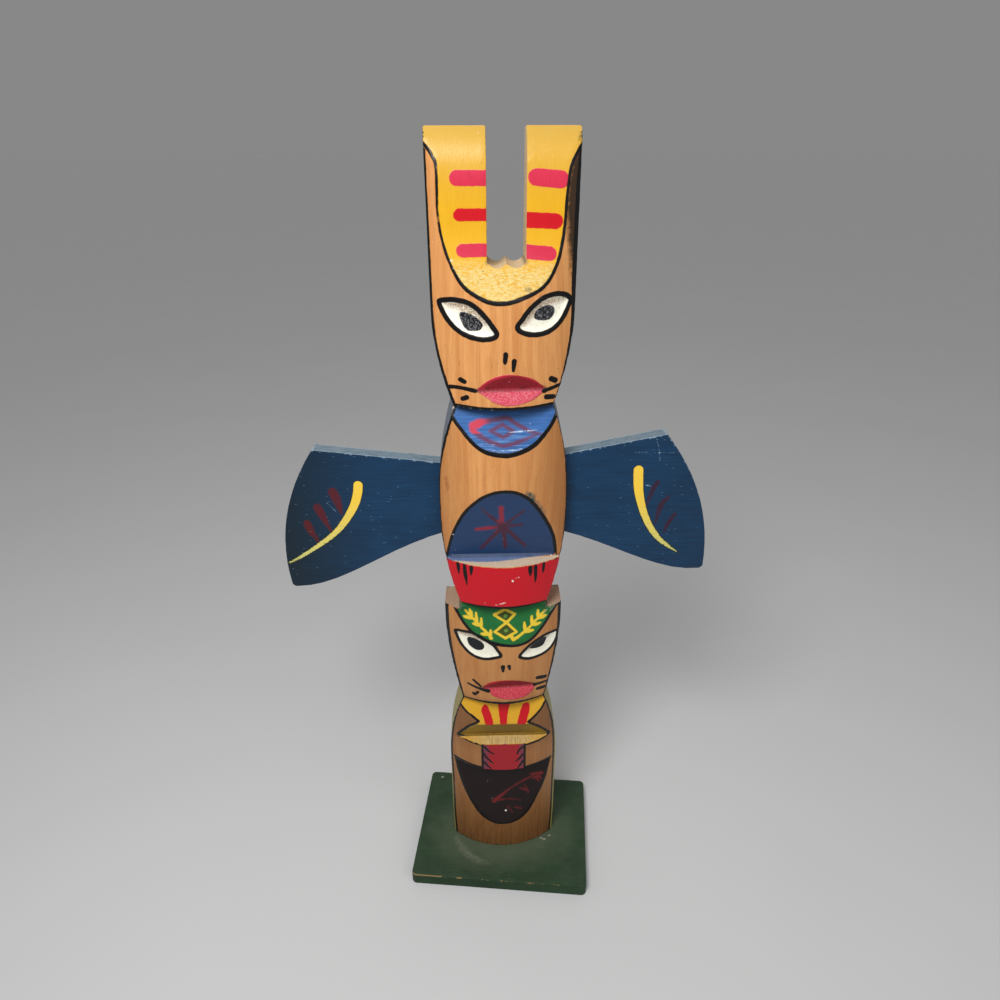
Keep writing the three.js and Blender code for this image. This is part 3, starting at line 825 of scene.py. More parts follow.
ear_points = places(pole)
ear_faces = (ear_points[:, 2] > 284) & (ear_points[:, 2] < 303.5) & (normals(pole)[:, 1] < -0.3)
ease(pole, "ears", ear_faces & (nearness(ear_points, pole_outer, 2.0) > 1.2), rounds=60)
sag_lower_edges(pole)
hollow_eyes(pole)
cut_points, cut_facing = places(pole), normals(pole)
cut_z = cut_points[:, 2]
low_scoop = (np.abs(cut_points[:, 0]) < 16) & (cut_z > 257.5) & (cut_z < 266.5) & (cut_facing[:, 1] < -0.3)
level_cuts = (np.abs(cut_facing[:, 2]) > 0.8) & (cut_z > 20) & (cut_z < 300)
roughen(pole, "end_grain", low_scoop | level_cuts, depth=0.3, size=0.9)
long_faces = (cut_facing[:, 1] < -0.3) & (cut_z > 7)
roughen(pole, "hand_sanding", long_faces, depth=0.14, size=9)
near_corner = nearness(cut_points, pole_outer, 2.0) < 0.9
roughen(pole, "knocks", near_corner & (cut_z > 7), depth=0.16, size=2.2)

# %% Store the paints on the pole
keep_in_box(pole)
pole_points = places(pole)
pole_layers = paint_pole(pole_points)
hold_back(pole_layers, pole_points, normals(pole))
pole_layers["rim"], pole_layers["rim_half"] = lay_rims(pole_points)
pole_layers["corner"] = nearness(pole_points, pole_outer, 6.0)
pole_layers["hollow"] = nearness(pole_points, pole_inner, 6.0)
for name, layer in pole_layers.items():
    keep_values(pole, name, layer)
bpy.data.objects.remove(pole_rubbed)
print("pole keeps", len(pole_layers), "values at each point")


# %% [markdown]
# ## Winged board and base plate
# The board and the plate are flat stock, about 6 mm thick, so they are divided and rubbed in the
# same way. Each wing carries one yellow sweep and three dark red drops.

# %% Board
YELLOW_SWEEPS = [
    [(-53.8, 187.6), (-54.4, 184.0), (-56.0, 179.4), (-58.9, 174.3), (-62.6, 169.4), (-66.7, 165.5),
     (-70.4, 162.7), (-75.2, 159.4), (-80.1, 156.3), (-83.6, 154.5)],
    [(50.6, 192.3), (51.0, 187.1), (51.8, 182.0), (53.8, 175.3), (56.7, 168.9), (60.6, 163.4),
     (64.3, 160.0), (69.4, 156.3)],
]
SWEEP_WIDTHS = [(3.4, 3.3, 3.0, 2.7, 2.3, 2.1, 1.8, 1.4, 0.8), (3.6, 3.6, 3.1, 2.8, 2.6, 2.3, 1.6, 0.3)]
RED_DROPS = [
    [(-63.5, 184.9), (-62.5, 181.9), (-61.0, 175.4)], [(-69.9, 178.6), (-68.5, 175.0), (-65.6, 167.6)],
    [(-74.6, 171.8), (-73.6, 168.5), (-70.8, 162.9)], [(58.4, 187.4), (56.7, 184.0), (55.0, 177.6)],
    [(63.0, 180.7), (60.6, 177.7), (59.1, 170.0)], [(66.2, 173.4), (64.4, 170.3), (62.7, 165.7)],
]
DROP_WIDTHS = [(3.6, 3.6, 2.4, 0.8), (3.2, 2.9, 1.9, 0.7), (3.0, 2.9, 1.8, 0.7), (1.7, 2.0, 1.6, 0.6),
               (1.6, 2.2, 1.8, 0.8), (1.6, 2.0, 1.6, 0.6)]
WING_CELL = 0.7

board_rubbed = rubbed_copy("wing_board", rounds=3)
board = copy_of("wing_board", "painted_wings")
board_outer = corner_samples(board, outer=True)
apply(board, "REMESH", mode="VOXEL", voxel_size=WING_CELL * MM)


def paint_board(points):
    spots = points[:, [0, 2]]
    layers = {name: np.full(len(points), FAR) for name in ("yellow", "glaze", "pale")}
    for sweep, widths in zip(YELLOW_SWEEPS, SWEEP_WIDTHS):
        lay_stroke(layers["yellow"], spots, sweep, widths)
    for drop, widths in zip(RED_DROPS, DROP_WIDTHS):
        lay_stroke(layers["glaze"], spots, drop, widths)
    for scratch, width in (([(-66.2, 180.4), (-63.0, 176.6)], 0.35),
                           ([(56.3, 204.6), (57.6, 200.0), (58.3, 195.9)], 0.3),
                           ([(48.5, 199.4), (63.3, 199.2)], 0.25), ([(54.2, 185.9), (55.6, 185.7)], 0.7)):
        lay_stroke(layers["pale"], spots, scratch, width)
    return layers


lay_on(board, board_rubbed)
near_paint = crossed_by_paint(board, paint_board(places(board)), np.full(len(board.data.vertices), FAR),
                              within=0.62)
refine(board, near_paint | (nearness(places(board), board_outer, 2.0) < 0.7))
lay_on(board, board_rubbed)
draw_to_corners(board, board_outer)
board_z = places(board)[:, 2]
roughen(board, "saw_marks", board_z > 0, depth=0.08, size=5)
roughen(board, "knocks", nearness(places(board), board_outer, 2.0) < 0.9, depth=0.08, size=4)
keep_in_box(board)
board_points = places(board)
for name, layer in paint_board(board_points).items():
    keep_values(board, name, layer)
keep_values(board, "corner", nearness(board_points, board_outer, 6.0))
bpy.data.objects.remove(board_rubbed)

# %% Base plate
BASE_CELL = 0.7
DUST_ARC = [(-22.3, -6.3), (-20.7, -10.1), (-17.8, -14.4), (-13.2, -18.2), (-8.5, -20.3)]
CRUMBS = [(17.6, -7.9), (18.9, -8.6), (21.5, -6.5), (-31.1, 29.7)]

plate_rubbed = rubbed_copy("base_plate", rounds=3)
plate = copy_of("base_plate", "painted_base")
plate_outer = corner_samples(plate, outer=True)
apply(plate, "REMESH", mode="VOXEL", voxel_size=BASE_CELL * MM)
refine(plate, nearness(places(plate), plate_outer, 2.0) < 0.8)
lay_on(plate, plate_rubbed)
draw_to_corners(plate, plate_outer)
bpy.data.objects.remove(plate_rubbed)
roughen(plate, "knocks", (nearness(places(plate), plate_outer, 2.0) < 0.9) & (places(plate)[:, 2] > 3),
        depth=0.16, size=2.2)
keep_in_box(plate)
plate_points = places(plate)
keep_values(plate, "corner", nearness(plate_points, plate_outer, 6.0))
for name, strokes, widths in (("dust_arc", [DUST_ARC], (1.0, 2.6, 2.6, 1.0)),
                              ("crumbs", [[(x, y), (x + 0.5, y)] for x, y in CRUMBS], 0.9)):
    layer = np.full(len(plate_points), FAR)
    for stroke in strokes:
        lay_stroke(layer, plate_points[:, :2], stroke, widths)
    keep_values(plate, name, layer)


# %% [markdown]
# ## Helpers for materials
# A material is a small network of nodes. These helpers add one node, one sum, one mix or one
# colour chosen by height, so that each finish below reads like a recipe.

# %% Colour and node helpers
def colour(red, green, blue):
    linear = [(v / 255 / 12.92) if v <= 10 else ((v / 255 + 0.055) / 1.055) ** 2.4 for v in (red, green,
                                                                                             blue)]
    return (*linear, 1.0)


def put(tree, kind, inputs=None, **settings):
    made = tree.nodes.new(kind)
    for name, value in settings.items():
        setattr(made, name, value)
    for name, value in (inputs or {}).items():
        if isinstance(value, bpy.types.NodeSocket):
            tree.links.new(value, made.inputs[name])
        else:
            made.inputs[name].default_value = value
    return made


def calc(tree, operation, *values, clamp=False):
    return put(tree, "ShaderNodeMath", dict(enumerate(values)), operation=operation,
               use_clamp=clamp).outputs[0]


def times(tree, first, second):
    """Both masks together."""
    return calc(tree, "MULTIPLY", first, second)


def either(tree, first, second):
    """The stronger of two masks."""
    return calc(tree, "MAXIMUM", first, second)


def without(tree, mask):
    """All but the mask."""
    return calc(tree, "SUBTRACT", 1.0, mask)


def between(tree, value, low, high, start=0.0, end=1.0):
    made = put(tree, "ShaderNodeMapRange", {0: value, 1: low, 2: high, 3: start, 4: end}, clamp=True)
    return made.outputs[0]


def cover(tree, below, above, mask):
    """One coat over another, where the mask says."""
    made = put(tree, "ShaderNodeMix", {0: mask, 6: below, 7: above}, data_type="RGBA")
    return made.outputs[2]


def blend(tree, first, second, mask):
    """The same for plain values."""
    return put(tree, "ShaderNodeMix", {0: mask, 2: first, 3: second}, data_type="FLOAT").outputs[0]


def noise(tree, vector, scale, detail=2.0, roughness=0.5):
    inputs = {"Vector": vector, "Scale": scale, "Detail": detail, "Roughness": roughness}
    return put(tree, "ShaderNodeTexNoise", inputs).outputs[0]


def stretched(tree, vector, across, along):
    return put(tree, "ShaderNodeVectorMath", {0: vector, 1: (across, across, along)},
               operation="MULTIPLY").outputs[0]


def new_group(name, inputs, outputs):
    tree = bpy.data.node_groups.new(name, "ShaderNodeTree")
    for socket_name, kind, default in inputs:
        made = tree.interface.new_socket(socket_name, in_out="INPUT", socket_type=kind)
        if default is not None:
            made.default_value = default
    for socket_name, kind in outputs:
        tree.interface.new_socket(socket_name, in_out="OUTPUT", socket_type=kind)
    return tree, tree.nodes.new("NodeGroupInput"), tree.nodes.new("NodeGroupOutput")


def use_group(tree, group, **inputs):
    made = tree.nodes.new("ShaderNodeGroup")
    made.node_tree = group
    for name, value in inputs.items():
        target = made.inputs[name.replace("_", " ")]
        if isinstance(value, bpy.types.NodeSocket):
            tree.links.new(value, target)
        else:
            target.default_value = value
    return made


print("helpers for materials are ready")

# %% [markdown]
# ## Effects that several finishes share
# Wood grain, the marks of the brush, the edge of a painted shape, worn corners, small flecks and
# dust are used by more than one finish. Each is a node group with named sockets. They work in
# millimetres, so a size in a recipe below is a size on the object.

# %% Wood grain, running along the third axis of the given vector
grain_group, given, result = new_group(
    "wood_grain", [("Place", "NodeSocketVector", None)],
    [("Broad", "NodeSocketFloat"), ("Fine", "NodeSocketFloat"), ("Pores", "NodeSocketFloat")])
tree = grain_group
place = given.outputs["Place"]
bend = noise(tree, stretched(tree, place, 0.05, 0.02), 1.0, 2.0)
sway = put(tree, "ShaderNodeCombineXYZ", {0: times(tree, bend, 7.0), 1: times(tree, bend, 7.0)})
lines = put(tree, "ShaderNodeVectorMath", {0: place, 1: sway.outputs[0]}, operation="ADD").outputs[0]
tree.links.new(noise(tree, stretched(tree, lines, 0.42, 0.012), 1.0, 3.0, 0.6), result.inputs["Broad"])
tree.links.new(noise(tree, stretched(tree, lines, 2.4, 0.06), 1.0, 3.0, 0.6), result.inputs["Fine"])
pores = noise(tree, stretched(tree, lines, 3.2, 0.34), 1.0, 2.0, 0.6)
tree.links.new(between(tree, pores, 0.64, 0.72), result.inputs["Pores"])
print("grain group has", len(tree.nodes), "nodes")

# %% Marks of the brush, running along the third axis
brush_group, given, result = new_group(
    "brush_marks", [("Place", "NodeSocketVector", None), ("Bristle", "NodeSocketFloat", 0.35)],
    [("Streaks", "NodeSocketFloat"), ("Patches", "NodeSocketFloat")])
tree = brush_group
place = given.outputs["Place"]
per_bristle = calc(tree, "DIVIDE", 1.0, given.outputs["Bristle"])
streaks = noise(tree, stretched(tree, place, 1.0, 0.04), per_bristle, 3.0, 0.65)
tree.links.new(between(tree, streaks, 0.3, 0.7), result.inputs["Streaks"])
tree.links.new(between(tree, noise(tree, stretched(tree, place, 0.12, 0.06), 1.0, 3.0), 0.3, 0.7),
               result.inputs["Patches"])
print("brush group has", len(tree.nodes), "nodes")

# %% The edge of a painted shape
edge_group, given, result = new_group(
    "painted_edge",
    [("Depth", "NodeSocketFloat", 0.0), ("Place", "NodeSocketVector", None),
     ("Wobble", "NodeSocketFloat", 0.12),
     ("Softness", "NodeSocketFloat", 0.1), ("Dryness", "NodeSocketFloat", 0.0)],
    [("Mask", "NodeSocketFloat")])
tree = edge_group
place = given.outputs["Place"]
shake = calc(tree, "SUBTRACT", noise(tree, place, 0.55, 3.0, 0.6), 0.5)
shaken = calc(tree, "MULTIPLY_ADD", shake, times(tree, given.outputs["Wobble"], 4.0),
              given.outputs["Depth"])
dry = calc(tree, "SUBTRACT", noise(tree, place, 2.2, 3.0, 0.7), 0.45)
dried = calc(tree, "SUBTRACT", shaken, times(tree, either(tree, dry, 0.0),
                                            times(tree, given.outputs["Dryness"], 8.0)))
half = given.outputs["Softness"]
tree.links.new(between(tree, dried, times(tree, half, -1.0), half), result.inputs["Mask"])
print("edge group has", len(tree.nodes), "nodes")

# %% Worn corners, flecks and dust
wear_group, given, result = new_group(
    "worn_corners",
    [("Corner", "NodeSocketFloat", 6.0), ("Place", "NodeSocketVector", None),
     ("Reach", "NodeSocketFloat", 0.6),
     ("Share", "NodeSocketFloat", 0.5)],
    [("Mask", "NodeSocketFloat")])
tree = wear_group
patchy = noise(tree, given.outputs["Place"], 0.22, 4.0, 0.7)
cut_off = calc(tree, "SUBTRACT", 0.72, times(tree, given.outputs["Share"], 0.44))
rubbed = between(tree, patchy, cut_off, calc(tree, "ADD", cut_off, 0.05))
close = between(tree, given.outputs["Corner"], times(tree, given.outputs["Reach"], 0.55),
                given.outputs["Reach"], 1.0, 0.0)
tree.links.new(times(tree, rubbed, close), result.inputs["Mask"])

fleck_group, given, result = new_group(
    "flecks",
    [("Place", "NodeSocketVector", None), ("Size", "NodeSocketFloat", 0.5),
     ("Share", "NodeSocketFloat", 0.3)],
    [("Mask", "NodeSocketFloat")])
tree = fleck_group
cells = put(tree, "ShaderNodeTexVoronoi",
            {"Vector": given.outputs["Place"], "Scale": calc(tree, "DIVIDE", 0.22, given.outputs["Size"])})
chance = put(tree, "ShaderNodeSeparateColor", {0: cells.outputs["Color"]}).outputs[0]
present = calc(tree, "LESS_THAN", chance, given.outputs["Share"])
small = between(tree, cells.outputs["Distance"], 0.06, 0.12, 1.0, 0.0)
tree.links.new(times(tree, present, small), result.inputs["Mask"])

dust_group, given, result = new_group(
    "dust", [("Place", "NodeSocketVector", None), ("Amount", "NodeSocketFloat", 0.4)],
    [("Mask", "NodeSocketFloat")])
tree = dust_group
upward = put(tree, "ShaderNodeSeparateXYZ", {0: put(tree,
                                                    "ShaderNodeNewGeometry").outputs["Normal"]}).outputs[2]
settled = between(tree, upward, 0.35, 0.95)
cloudy = between(tree, noise(tree, given.outputs["Place"], 0.16, 5.0, 0.65), 0.25, 0.75, 0.35, 1.0)
tree.links.new(times(tree, times(tree, settled, cloudy), given.outputs["Amount"]),
               result.inputs["Mask"])
print("wear, fleck and dust groups are ready")


# %% [markdown]
# ## The pole's finish
# Underneath is varnished softwood, tan, with upright grain. Over it come the flat areas of enamel,
# then the strokes, then the black lines, in the painter's order. Level saw cuts stay bare and a
# little grey. Each coat has its own gloss, and the brush marks and the grain show as fine relief.

# %% Colours of the pole
WOOD_LIGHT = colour(224, 160, 97)
WOOD_WARM = colour(206, 138, 78)
WOOD_DARK = colour(150, 92, 46)
WOOD_FOOT = colour(92, 56, 26)
BARE_SAWN = colour(206, 174, 138)
BARE_SHADE = colour(146, 118, 92)
BARE_GREY = colour(160, 134, 108)
EGG_YELLOW = colour(224, 170, 32)
COLLAR_YELLOW = colour(220, 168, 44)
EAR_TOP_SHADE_YELLOW = colour(186, 150, 62)
DEEP_YELLOW = colour(214, 144, 24)
CREAM_YELLOW = colour(228, 206, 138)
BRIGHT_RED = colour(200, 18, 30)
PINK_RED = colour(204, 42, 72)
MOUTH_RED = colour(206, 34, 62)
MOUTH_SHADE = colour(118, 18, 24)
MOUTH_GLINT = colour(240, 150, 165)
BEAK_RED = colour(200, 14, 32)
BIB_RED = colour(164, 24, 36)
SKY_BLUE = colour(54, 106, 172)
NIGHT_BLUE = colour(36, 64, 104)
BAND_GREEN = colour(32, 112, 54)
SOOT = colour(22, 6, 6)
OLIVE_SHADE = colour(60, 74, 26)
MAUVE = colour(104, 58, 78)
LEAF_YELLOW = colour(232, 196, 54)
EYE_WHITE = colour(250, 246, 228)
LID_BROWN = colour(150, 108, 66)
PUPIL_GREY = colour(18, 18, 22)
LINE_BLACK = colour(9, 6, 6)
CHIP_PALE = colour(232, 224, 214)
STAIN_AND_SHADE_BROWN = colour(44, 31, 21)
SMEAR_TEAL = colour(26, 72, 72)
SIDE_GREEN = colour(34, 84, 50)
SIDE_BLUE = colour(98, 108, 122)
SIDE_OLIVE = colour(156, 142, 76)
UNDERSIDE_SHADE_BLACK = colour(22, 18, 22)
UNDERSIDE_SHADE_OLIVE = colour(96, 70, 28)
FOOT_STREAK = colour(44, 28, 14)
SLOT_PALE = colour(226, 200, 154)
LEDGE_PALE = colour(232, 208, 182)
SAW_BROWN = colour(164, 112, 40)
NOTCH_SHADE_OLIVE = colour(116, 94, 36)
NOTCH_SHADE_DARK = colour(70, 48, 18)
SHELF_PALE = colour(228, 194, 126)
SHELF_STREAK = colour(120, 88, 40)
BLUE_STREAK = colour(24, 46, 84)
BLUE_PALE_STREAK = colour(150, 180, 220)
LEDGE_BLUE = colour(84, 112, 162)
DEEP_GREEN = colour(20, 78, 40)
BRANCH_RED = colour(116, 26, 28)
STAR_RED = colour(80, 30, 42)
DIAMOND_RED = colour(104, 44, 66)
THICK_RED = colour(164, 36, 46)
DROP_WET_RED = colour(216, 48, 50)
LEAF_DRY = colour(170, 160, 50)
LOWER_LIP_RED = colour(198, 20, 42)
RED_STREAK = colour(110, 12, 24)
EYE_AGED = colour(214, 204, 176)
PUPIL_SPECK = colour(150, 152, 156)
PUPIL_PLAIN = colour(20, 24, 28)
BODY_STAIN = colour(158, 96, 54)
HEART_GREEN = colour(96, 140, 60)
GREEN_SCRATCH = colour(152, 164, 142)
BLUE_PALE_MARK = colour(184, 204, 230)
FLECK_DARK = colour(70, 46, 30)
WORN_WOOD = colour(206, 170, 132)
CORNER_SHADE = colour(34, 26, 20)
SHADE_BROWN = colour(46, 28, 14)
SHADE_BLACK = colour(10, 10, 14)
POLE_DUST = colour(186, 178, 166)


def colour_by_height(tree, height, bands):
    """A colour that changes at given heights in millimetres, with no blending between them."""
    tallest = 310.0
    made = put(tree, "ShaderNodeValToRGB", {0: calc(tree, "DIVIDE", height, tallest)})
    ramp = made.color_ramp
    ramp.interpolation = "CONSTANT"
    ramp.elements[0].position = 0
    ramp.elements[0].color = bands[0][1]
    ramp.elements[1].position = bands[1][0] / tallest
    ramp.elements[1].color = bands[1][1]
    for start, band in bands[2:]:
        ramp.elements.new(start / tallest).color = band
    return made.outputs[0]


def start_material(name):
    material = bpy.data.materials.new(name)
    material.use_nodes = True
    tree = material.node_tree
    shader = tree.nodes["Principled BSDF"]
    where = put(tree, "ShaderNodeTexCoord").outputs["Object"]
    place = put(tree, "ShaderNodeVectorMath", {0: where, "Scale": 1000.0}, operation="SCALE").outputs[0]
    return material, tree, shader, place


def kept(tree, name):
    return put(tree, "ShaderNodeAttribute", attribute_name=name, attribute_type="GEOMETRY").outputs["Fac"]


# %% Pole material: where each part of the surface looks
pole_finish, tree, shader, place = start_material("pole_wood_and_enamel")
grain = use_group(tree, grain_group, Place=place)
brush = use_group(tree, brush_group, Place=place, Bristle=0.4)
parts = put(tree, "ShaderNodeSeparateXYZ", {0: place}).outputs
height = parts[2]
facing = put(tree, "ShaderNodeSeparateXYZ", {0: put(tree,
                                                    "ShaderNodeNewGeometry").outputs["Normal"]}).outputs
front = between(tree, facing[1], -0.42, -0.3, 1.0, 0.0)
upward = between(tree, facing[2], 0.8, 0.9)
line_front = between(tree, facing[1], -0.2, -0.08, 1.0, 0.0)
downward = between(tree, facing[2], -0.82, -0.7, 1.0, 0.0)
back = between(tree, facing[1], 0.5, 0.7)
painted_side = either(tree, front, upward)
from_middle = calc(tree, "ABSOLUTE", calc(tree, "SUBTRACT", parts[0], 1.0))
slot_zone = times(tree, calc(tree, "LESS_THAN", from_middle, 8.0),
                  calc(tree, "GREATER_THAN", height, 264.0))
in_slot = times(tree, slot_zone, without(tree, front))
sideways = times(tree, between(tree, calc(tree, "ABSOLUTE", facing[0]), 0.82, 0.93),
                 without(tree, slot_zone))
crumbly = noise(tree, place, 0.9, 5.0, 0.7)
sparkle = noise(tree, place, 3.0, 2.0, 0.8)
chopped = noise(tree, stretched(tree, place, 0.55, 1.7), 1.3, 5.0, 0.8)


def coat(name, wobble=0.1, softness=0.1, dryness=0.0, where=painted_side):
    mask = use_group(tree, edge_group, Depth=kept(tree, name), Place=place, Wobble=wobble,
                     Softness=softness,
                     Dryness=dryness).outputs[0]
    return times(tree, mask, where)


def at_heights(low, high):
    return times(tree, calc(tree, "GREATER_THAN", height, low), calc(tree, "LESS_THAN", height, high))


def fading(low, full_low, full_high, high):
    """Grows from nothing to all between two heights, and fades again between two others."""
    return times(tree, between(tree, height, low, full_low), between(tree, height, high, full_high))


ledge_top = times(tree, at_heights(159.0, 160.3), between(tree, facing[2], 0.55, 0.65))
upward = either(tree, upward, ledge_top)

# %% Pole material: the wood under the paint
wood = cover(tree, WOOD_LIGHT, WOOD_WARM, between(tree, grain.outputs["Broad"], 0.35, 0.66))
wood = cover(tree, wood, WOOD_DARK, between(tree, grain.outputs["Fine"], 0.48, 0.8, 0.0, 0.3))
wood = cover(tree, wood, WOOD_DARK, times(tree, grain.outputs["Pores"], 0.5))
# Mostly between 160 and 215 mm, the wood is made darker towards both sides.
off_middle = calc(tree, "ABSOLUTE", calc(tree, "ADD", parts[0], 3.0))
darker_sides = times(tree, between(tree, off_middle, 7.0, 24.0, 0.0, 0.62), fading(100.0, 160.0, 215.0, 222.0))
wood = cover(tree, wood, WOOD_DARK, darker_sides)
# The wood darkens towards the foot, below 180 mm: partly painted shade for the lamp's light falling off,
# partly patina.
darker_downwards = calc(tree, "MULTIPLY_ADD", grain.outputs["Fine"], 30.0, height)
wood = cover(tree, wood, WOOD_FOOT, between(tree, darker_downwards, 20.0, 180.0, 0.85, 0.0))
# Painted shade: the wood between 62 and 96 mm, under the lower chin, is painted darker.
wood = cover(tree, wood, WOOD_FOOT, times(tree, fading(62.0, 74.0, 90.0, 96.0), 0.58))
foot_streaks = times(tree, between(tree, grain.outputs["Fine"], 0.46, 0.62),
                     between(tree, height, 44.0, 8.0, 0.0, 0.4))
wood = cover(tree, wood, FOOT_STREAK, foot_streaks)
bare = cover(tree, BARE_SAWN, BARE_SHADE, between(tree, crumbly, 0.38, 0.66, 0.0, 0.8))
bare = cover(tree, bare, BARE_GREY, times(tree, at_heights(100.0, 150.0), 0.7))
bare = cover(tree, bare, SLOT_PALE, times(tree, in_slot, 0.6))
bare = cover(tree, bare, LEDGE_PALE, times(tree, ledge_top, 0.6))
sawn = either(tree, upward, in_slot)
skin = cover(tree, wood, bare, sawn)
# Painted shade: faces turned downwards are painted dark olive below 120 mm and near black up to 260 mm;
# above that they are bare grey.
under = colour_by_height(tree, height, [(0, UNDERSIDE_SHADE_OLIVE), (120, UNDERSIDE_SHADE_BLACK), (260, BARE_GREY)])
skin = cover(tree, skin, under, downward)

# %% Pole material: the sides and the broad areas
side_colour = colour_by_height(tree, height, [
    (0, SIDE_OLIVE), (93.4, BARE_GREY), (138.1, BEAK_RED), (159.7, SIDE_BLUE), (221.7, SIDE_GREEN)])
side_colour = cover(tree, side_colour, WOOD_DARK, between(tree, grain.outputs["Fine"], 0.5, 0.85, 0.0,
                                                          0.35))
rim = kept(tree, "rim")
shaken_rim = calc(tree, "MULTIPLY_ADD", calc(tree, "SUBTRACT", noise(tree, place, 0.4, 2.0), 0.5), 0.5, rim)
beyond = either(tree, between(tree, shaken_rim, -0.05, 0.05), sideways)
side_mask = times(tree, beyond, without(tree, either(tree, in_slot, back)))
side_mask = times(tree, side_mask, without(tree, either(tree, upward, downward)))

end_grain = times(tree, between(tree, calc(tree, "MULTIPLY_ADD", crumbly, 6.0, height), 267.5, 272.0,
                                1.0, 0.0),
                 times(tree, calc(tree, "GREATER_THAN", height, 254.0), coat("yellow", 0.06)))
yellow = colour_by_height(tree, height, [(0, COLLAR_YELLOW), (200, EGG_YELLOW)])
yellow = cover(tree, yellow, DEEP_YELLOW, between(tree, brush.outputs["Streaks"], 0.2, 1.0, 0.0, 0.35))
# Painted shade: towards the ear tops the yellow turns duller, toning down the near lamp's strong light
# there.
yellow = cover(tree, yellow, EAR_TOP_SHADE_YELLOW, between(tree, calc(tree, "MULTIPLY_ADD", crumbly, 8.0,
                                                             height), 288.0, 308.0, 0.0, 0.75))
yellow = cover(tree, yellow, CREAM_YELLOW, times(tree, between(tree, chopped, 0.42, 0.54, 0.05, 0.95),
                                                 end_grain))
level_streaks = noise(tree, stretched(tree, place, 0.4, 2.4), 1.3, 4.0, 0.75)
yellow = cover(tree, yellow, SAW_BROWN, times(tree, between(tree, level_streaks, 0.56, 0.7, 0.0, 0.75),
                                              end_grain))
# Painted shade: the notch's roof, between 69.7 and 80 mm, is painted olive, darker still in its
# downward-facing middle.
notch_roof = at_heights(69.7, 80.0)
yellow = cover(tree, yellow, NOTCH_SHADE_OLIVE, times(tree, notch_roof,
                                                between(tree, crumbly, 0.3, 0.6, 0.97, 0.8)))
notch_middle = times(tree, between(tree, from_middle, 13.0, 6.0),
                     between(tree, facing[2], -0.5, -0.3, 0.6, 0.0))
yellow = cover(tree, yellow, NOTCH_SHADE_DARK, times(tree, notch_roof, notch_middle))
shelf = times(tree, at_heights(67.5, 70.5), upward)
inwards = put(tree, "ShaderNodeVectorMath", {0: place, 1: (1.7, 0.14, 0.0)},
              operation="MULTIPLY").outputs[0]
shelf_streaks = noise(tree, inwards, 1.0, 4.0, 0.7)
worn_shelf = times(tree, shelf, between(tree, calc(tree, "MULTIPLY_ADD", crumbly, -10.0, from_middle),
                                        12.0, 2.0, 0.0, 0.85))
yellow = cover(tree, yellow, SHELF_PALE, worn_shelf)
yellow = cover(tree, yellow, SHELF_STREAK, times(tree, worn_shelf,
                                                 between(tree, shelf_streaks, 0.46, 0.66, 0.0, 0.9)))
skin = cover(tree, skin, yellow, times(tree, coat("yellow", 0.06), without(tree, in_slot)))

across = put(tree, "ShaderNodeMapping", {"Vector": place, "Rotation": (0, math.radians(90), 0)}).outputs[0]
cross_brush = use_group(tree, brush_group, Place=across, Bristle=0.5)
blue = colour_by_height(tree, height, [(0, NIGHT_BLUE), (200, SKY_BLUE)])
blue = cover(tree, blue, BLUE_STREAK, between(tree, cross_brush.outputs["Streaks"], 0.3, 1.0, 0.0, 0.45))
# Pale streaks low in the blue cut, along the brush marks.
low_pale_streaks = times(tree, between(tree, cross_brush.outputs["Streaks"], 0.52, 0.3),
                    between(tree, height, 214.0, 205.0))
blue = cover(tree, blue, BLUE_PALE_STREAK, times(tree, times(tree, low_pale_streaks, at_heights(200.0, 216.0)),
                                             0.65))
blue = cover(tree, blue, LEDGE_BLUE, ledge_top)
skin = cover(tree, skin, blue, coat("blue", 0.06, 0.1, times(tree, ledge_top, 0.5),
                                    where=either(tree, front, upward)))
green_paint = cover(tree, BAND_GREEN, DEEP_GREEN, between(tree, brush.outputs["Patches"], 0.2, 1.0, 0.0,
                                                          0.5))
skin = cover(tree, skin, green_paint, coat("green", 0.08))
dark_paint = colour_by_height(tree, height, [(0, SOOT), (100, OLIVE_SHADE)])
skin = cover(tree, skin, dark_paint, coat("dark", 0.05))

# %% Pole material: the strokes in colour
wet_red = colour_by_height(tree, height, [(0, BRANCH_RED), (60, STAR_RED), (200, DIAMOND_RED)])
bright_drop = times(tree, between(tree, parts[0], -4.5, -7.0), at_heights(212.0, 218.5))
left_arm = times(tree, between(tree, parts[0], -1.5, -4.5), at_heights(171.5, 175.4))
upper_arm = times(tree, calc(tree, "COMPARE", parts[0], -0.8, 1.6), between(tree, height, 175.0, 177.5))
upper_arm = times(tree, upper_arm, at_heights(170.0, 186.0))
wet_red = cover(tree, wet_red, THICK_RED, times(tree, either(tree, left_arm, upper_arm), 0.85))
wet_red = cover(tree, wet_red, DROP_WET_RED, bright_drop)
low_down = calc(tree, "LESS_THAN", height, 60.0)
skin = cover(tree, skin, wet_red, times(tree, coat("glaze", 0.2, 0.4,
                                                   calc(tree, "MULTIPLY_ADD", low_down, 0.2, 0.12)), 0.85))
leaf_paint = cover(tree, LEAF_YELLOW, LEAF_DRY, between(tree, sparkle, 0.5, 0.7, 0.0, 0.6))
skin = cover(tree, skin, leaf_paint, coat("leaf", 0.14, 0.14))
red = colour_by_height(tree, height, [
    (0, BIB_RED), (70, BRIGHT_RED), (94.2, LOWER_LIP_RED), (138, BEAK_RED), (200, MOUTH_RED), (264,
                                                                                               PINK_RED),
    (276.5, BRIGHT_RED), (286, PINK_RED)])
red = cover(tree, red, RED_STREAK, between(tree, grain.outputs["Fine"], 0.5, 0.85, 0.0, 0.28))
mouths = either(tree, at_heights(94.5, 106.0), at_heights(222.6, 234.0))
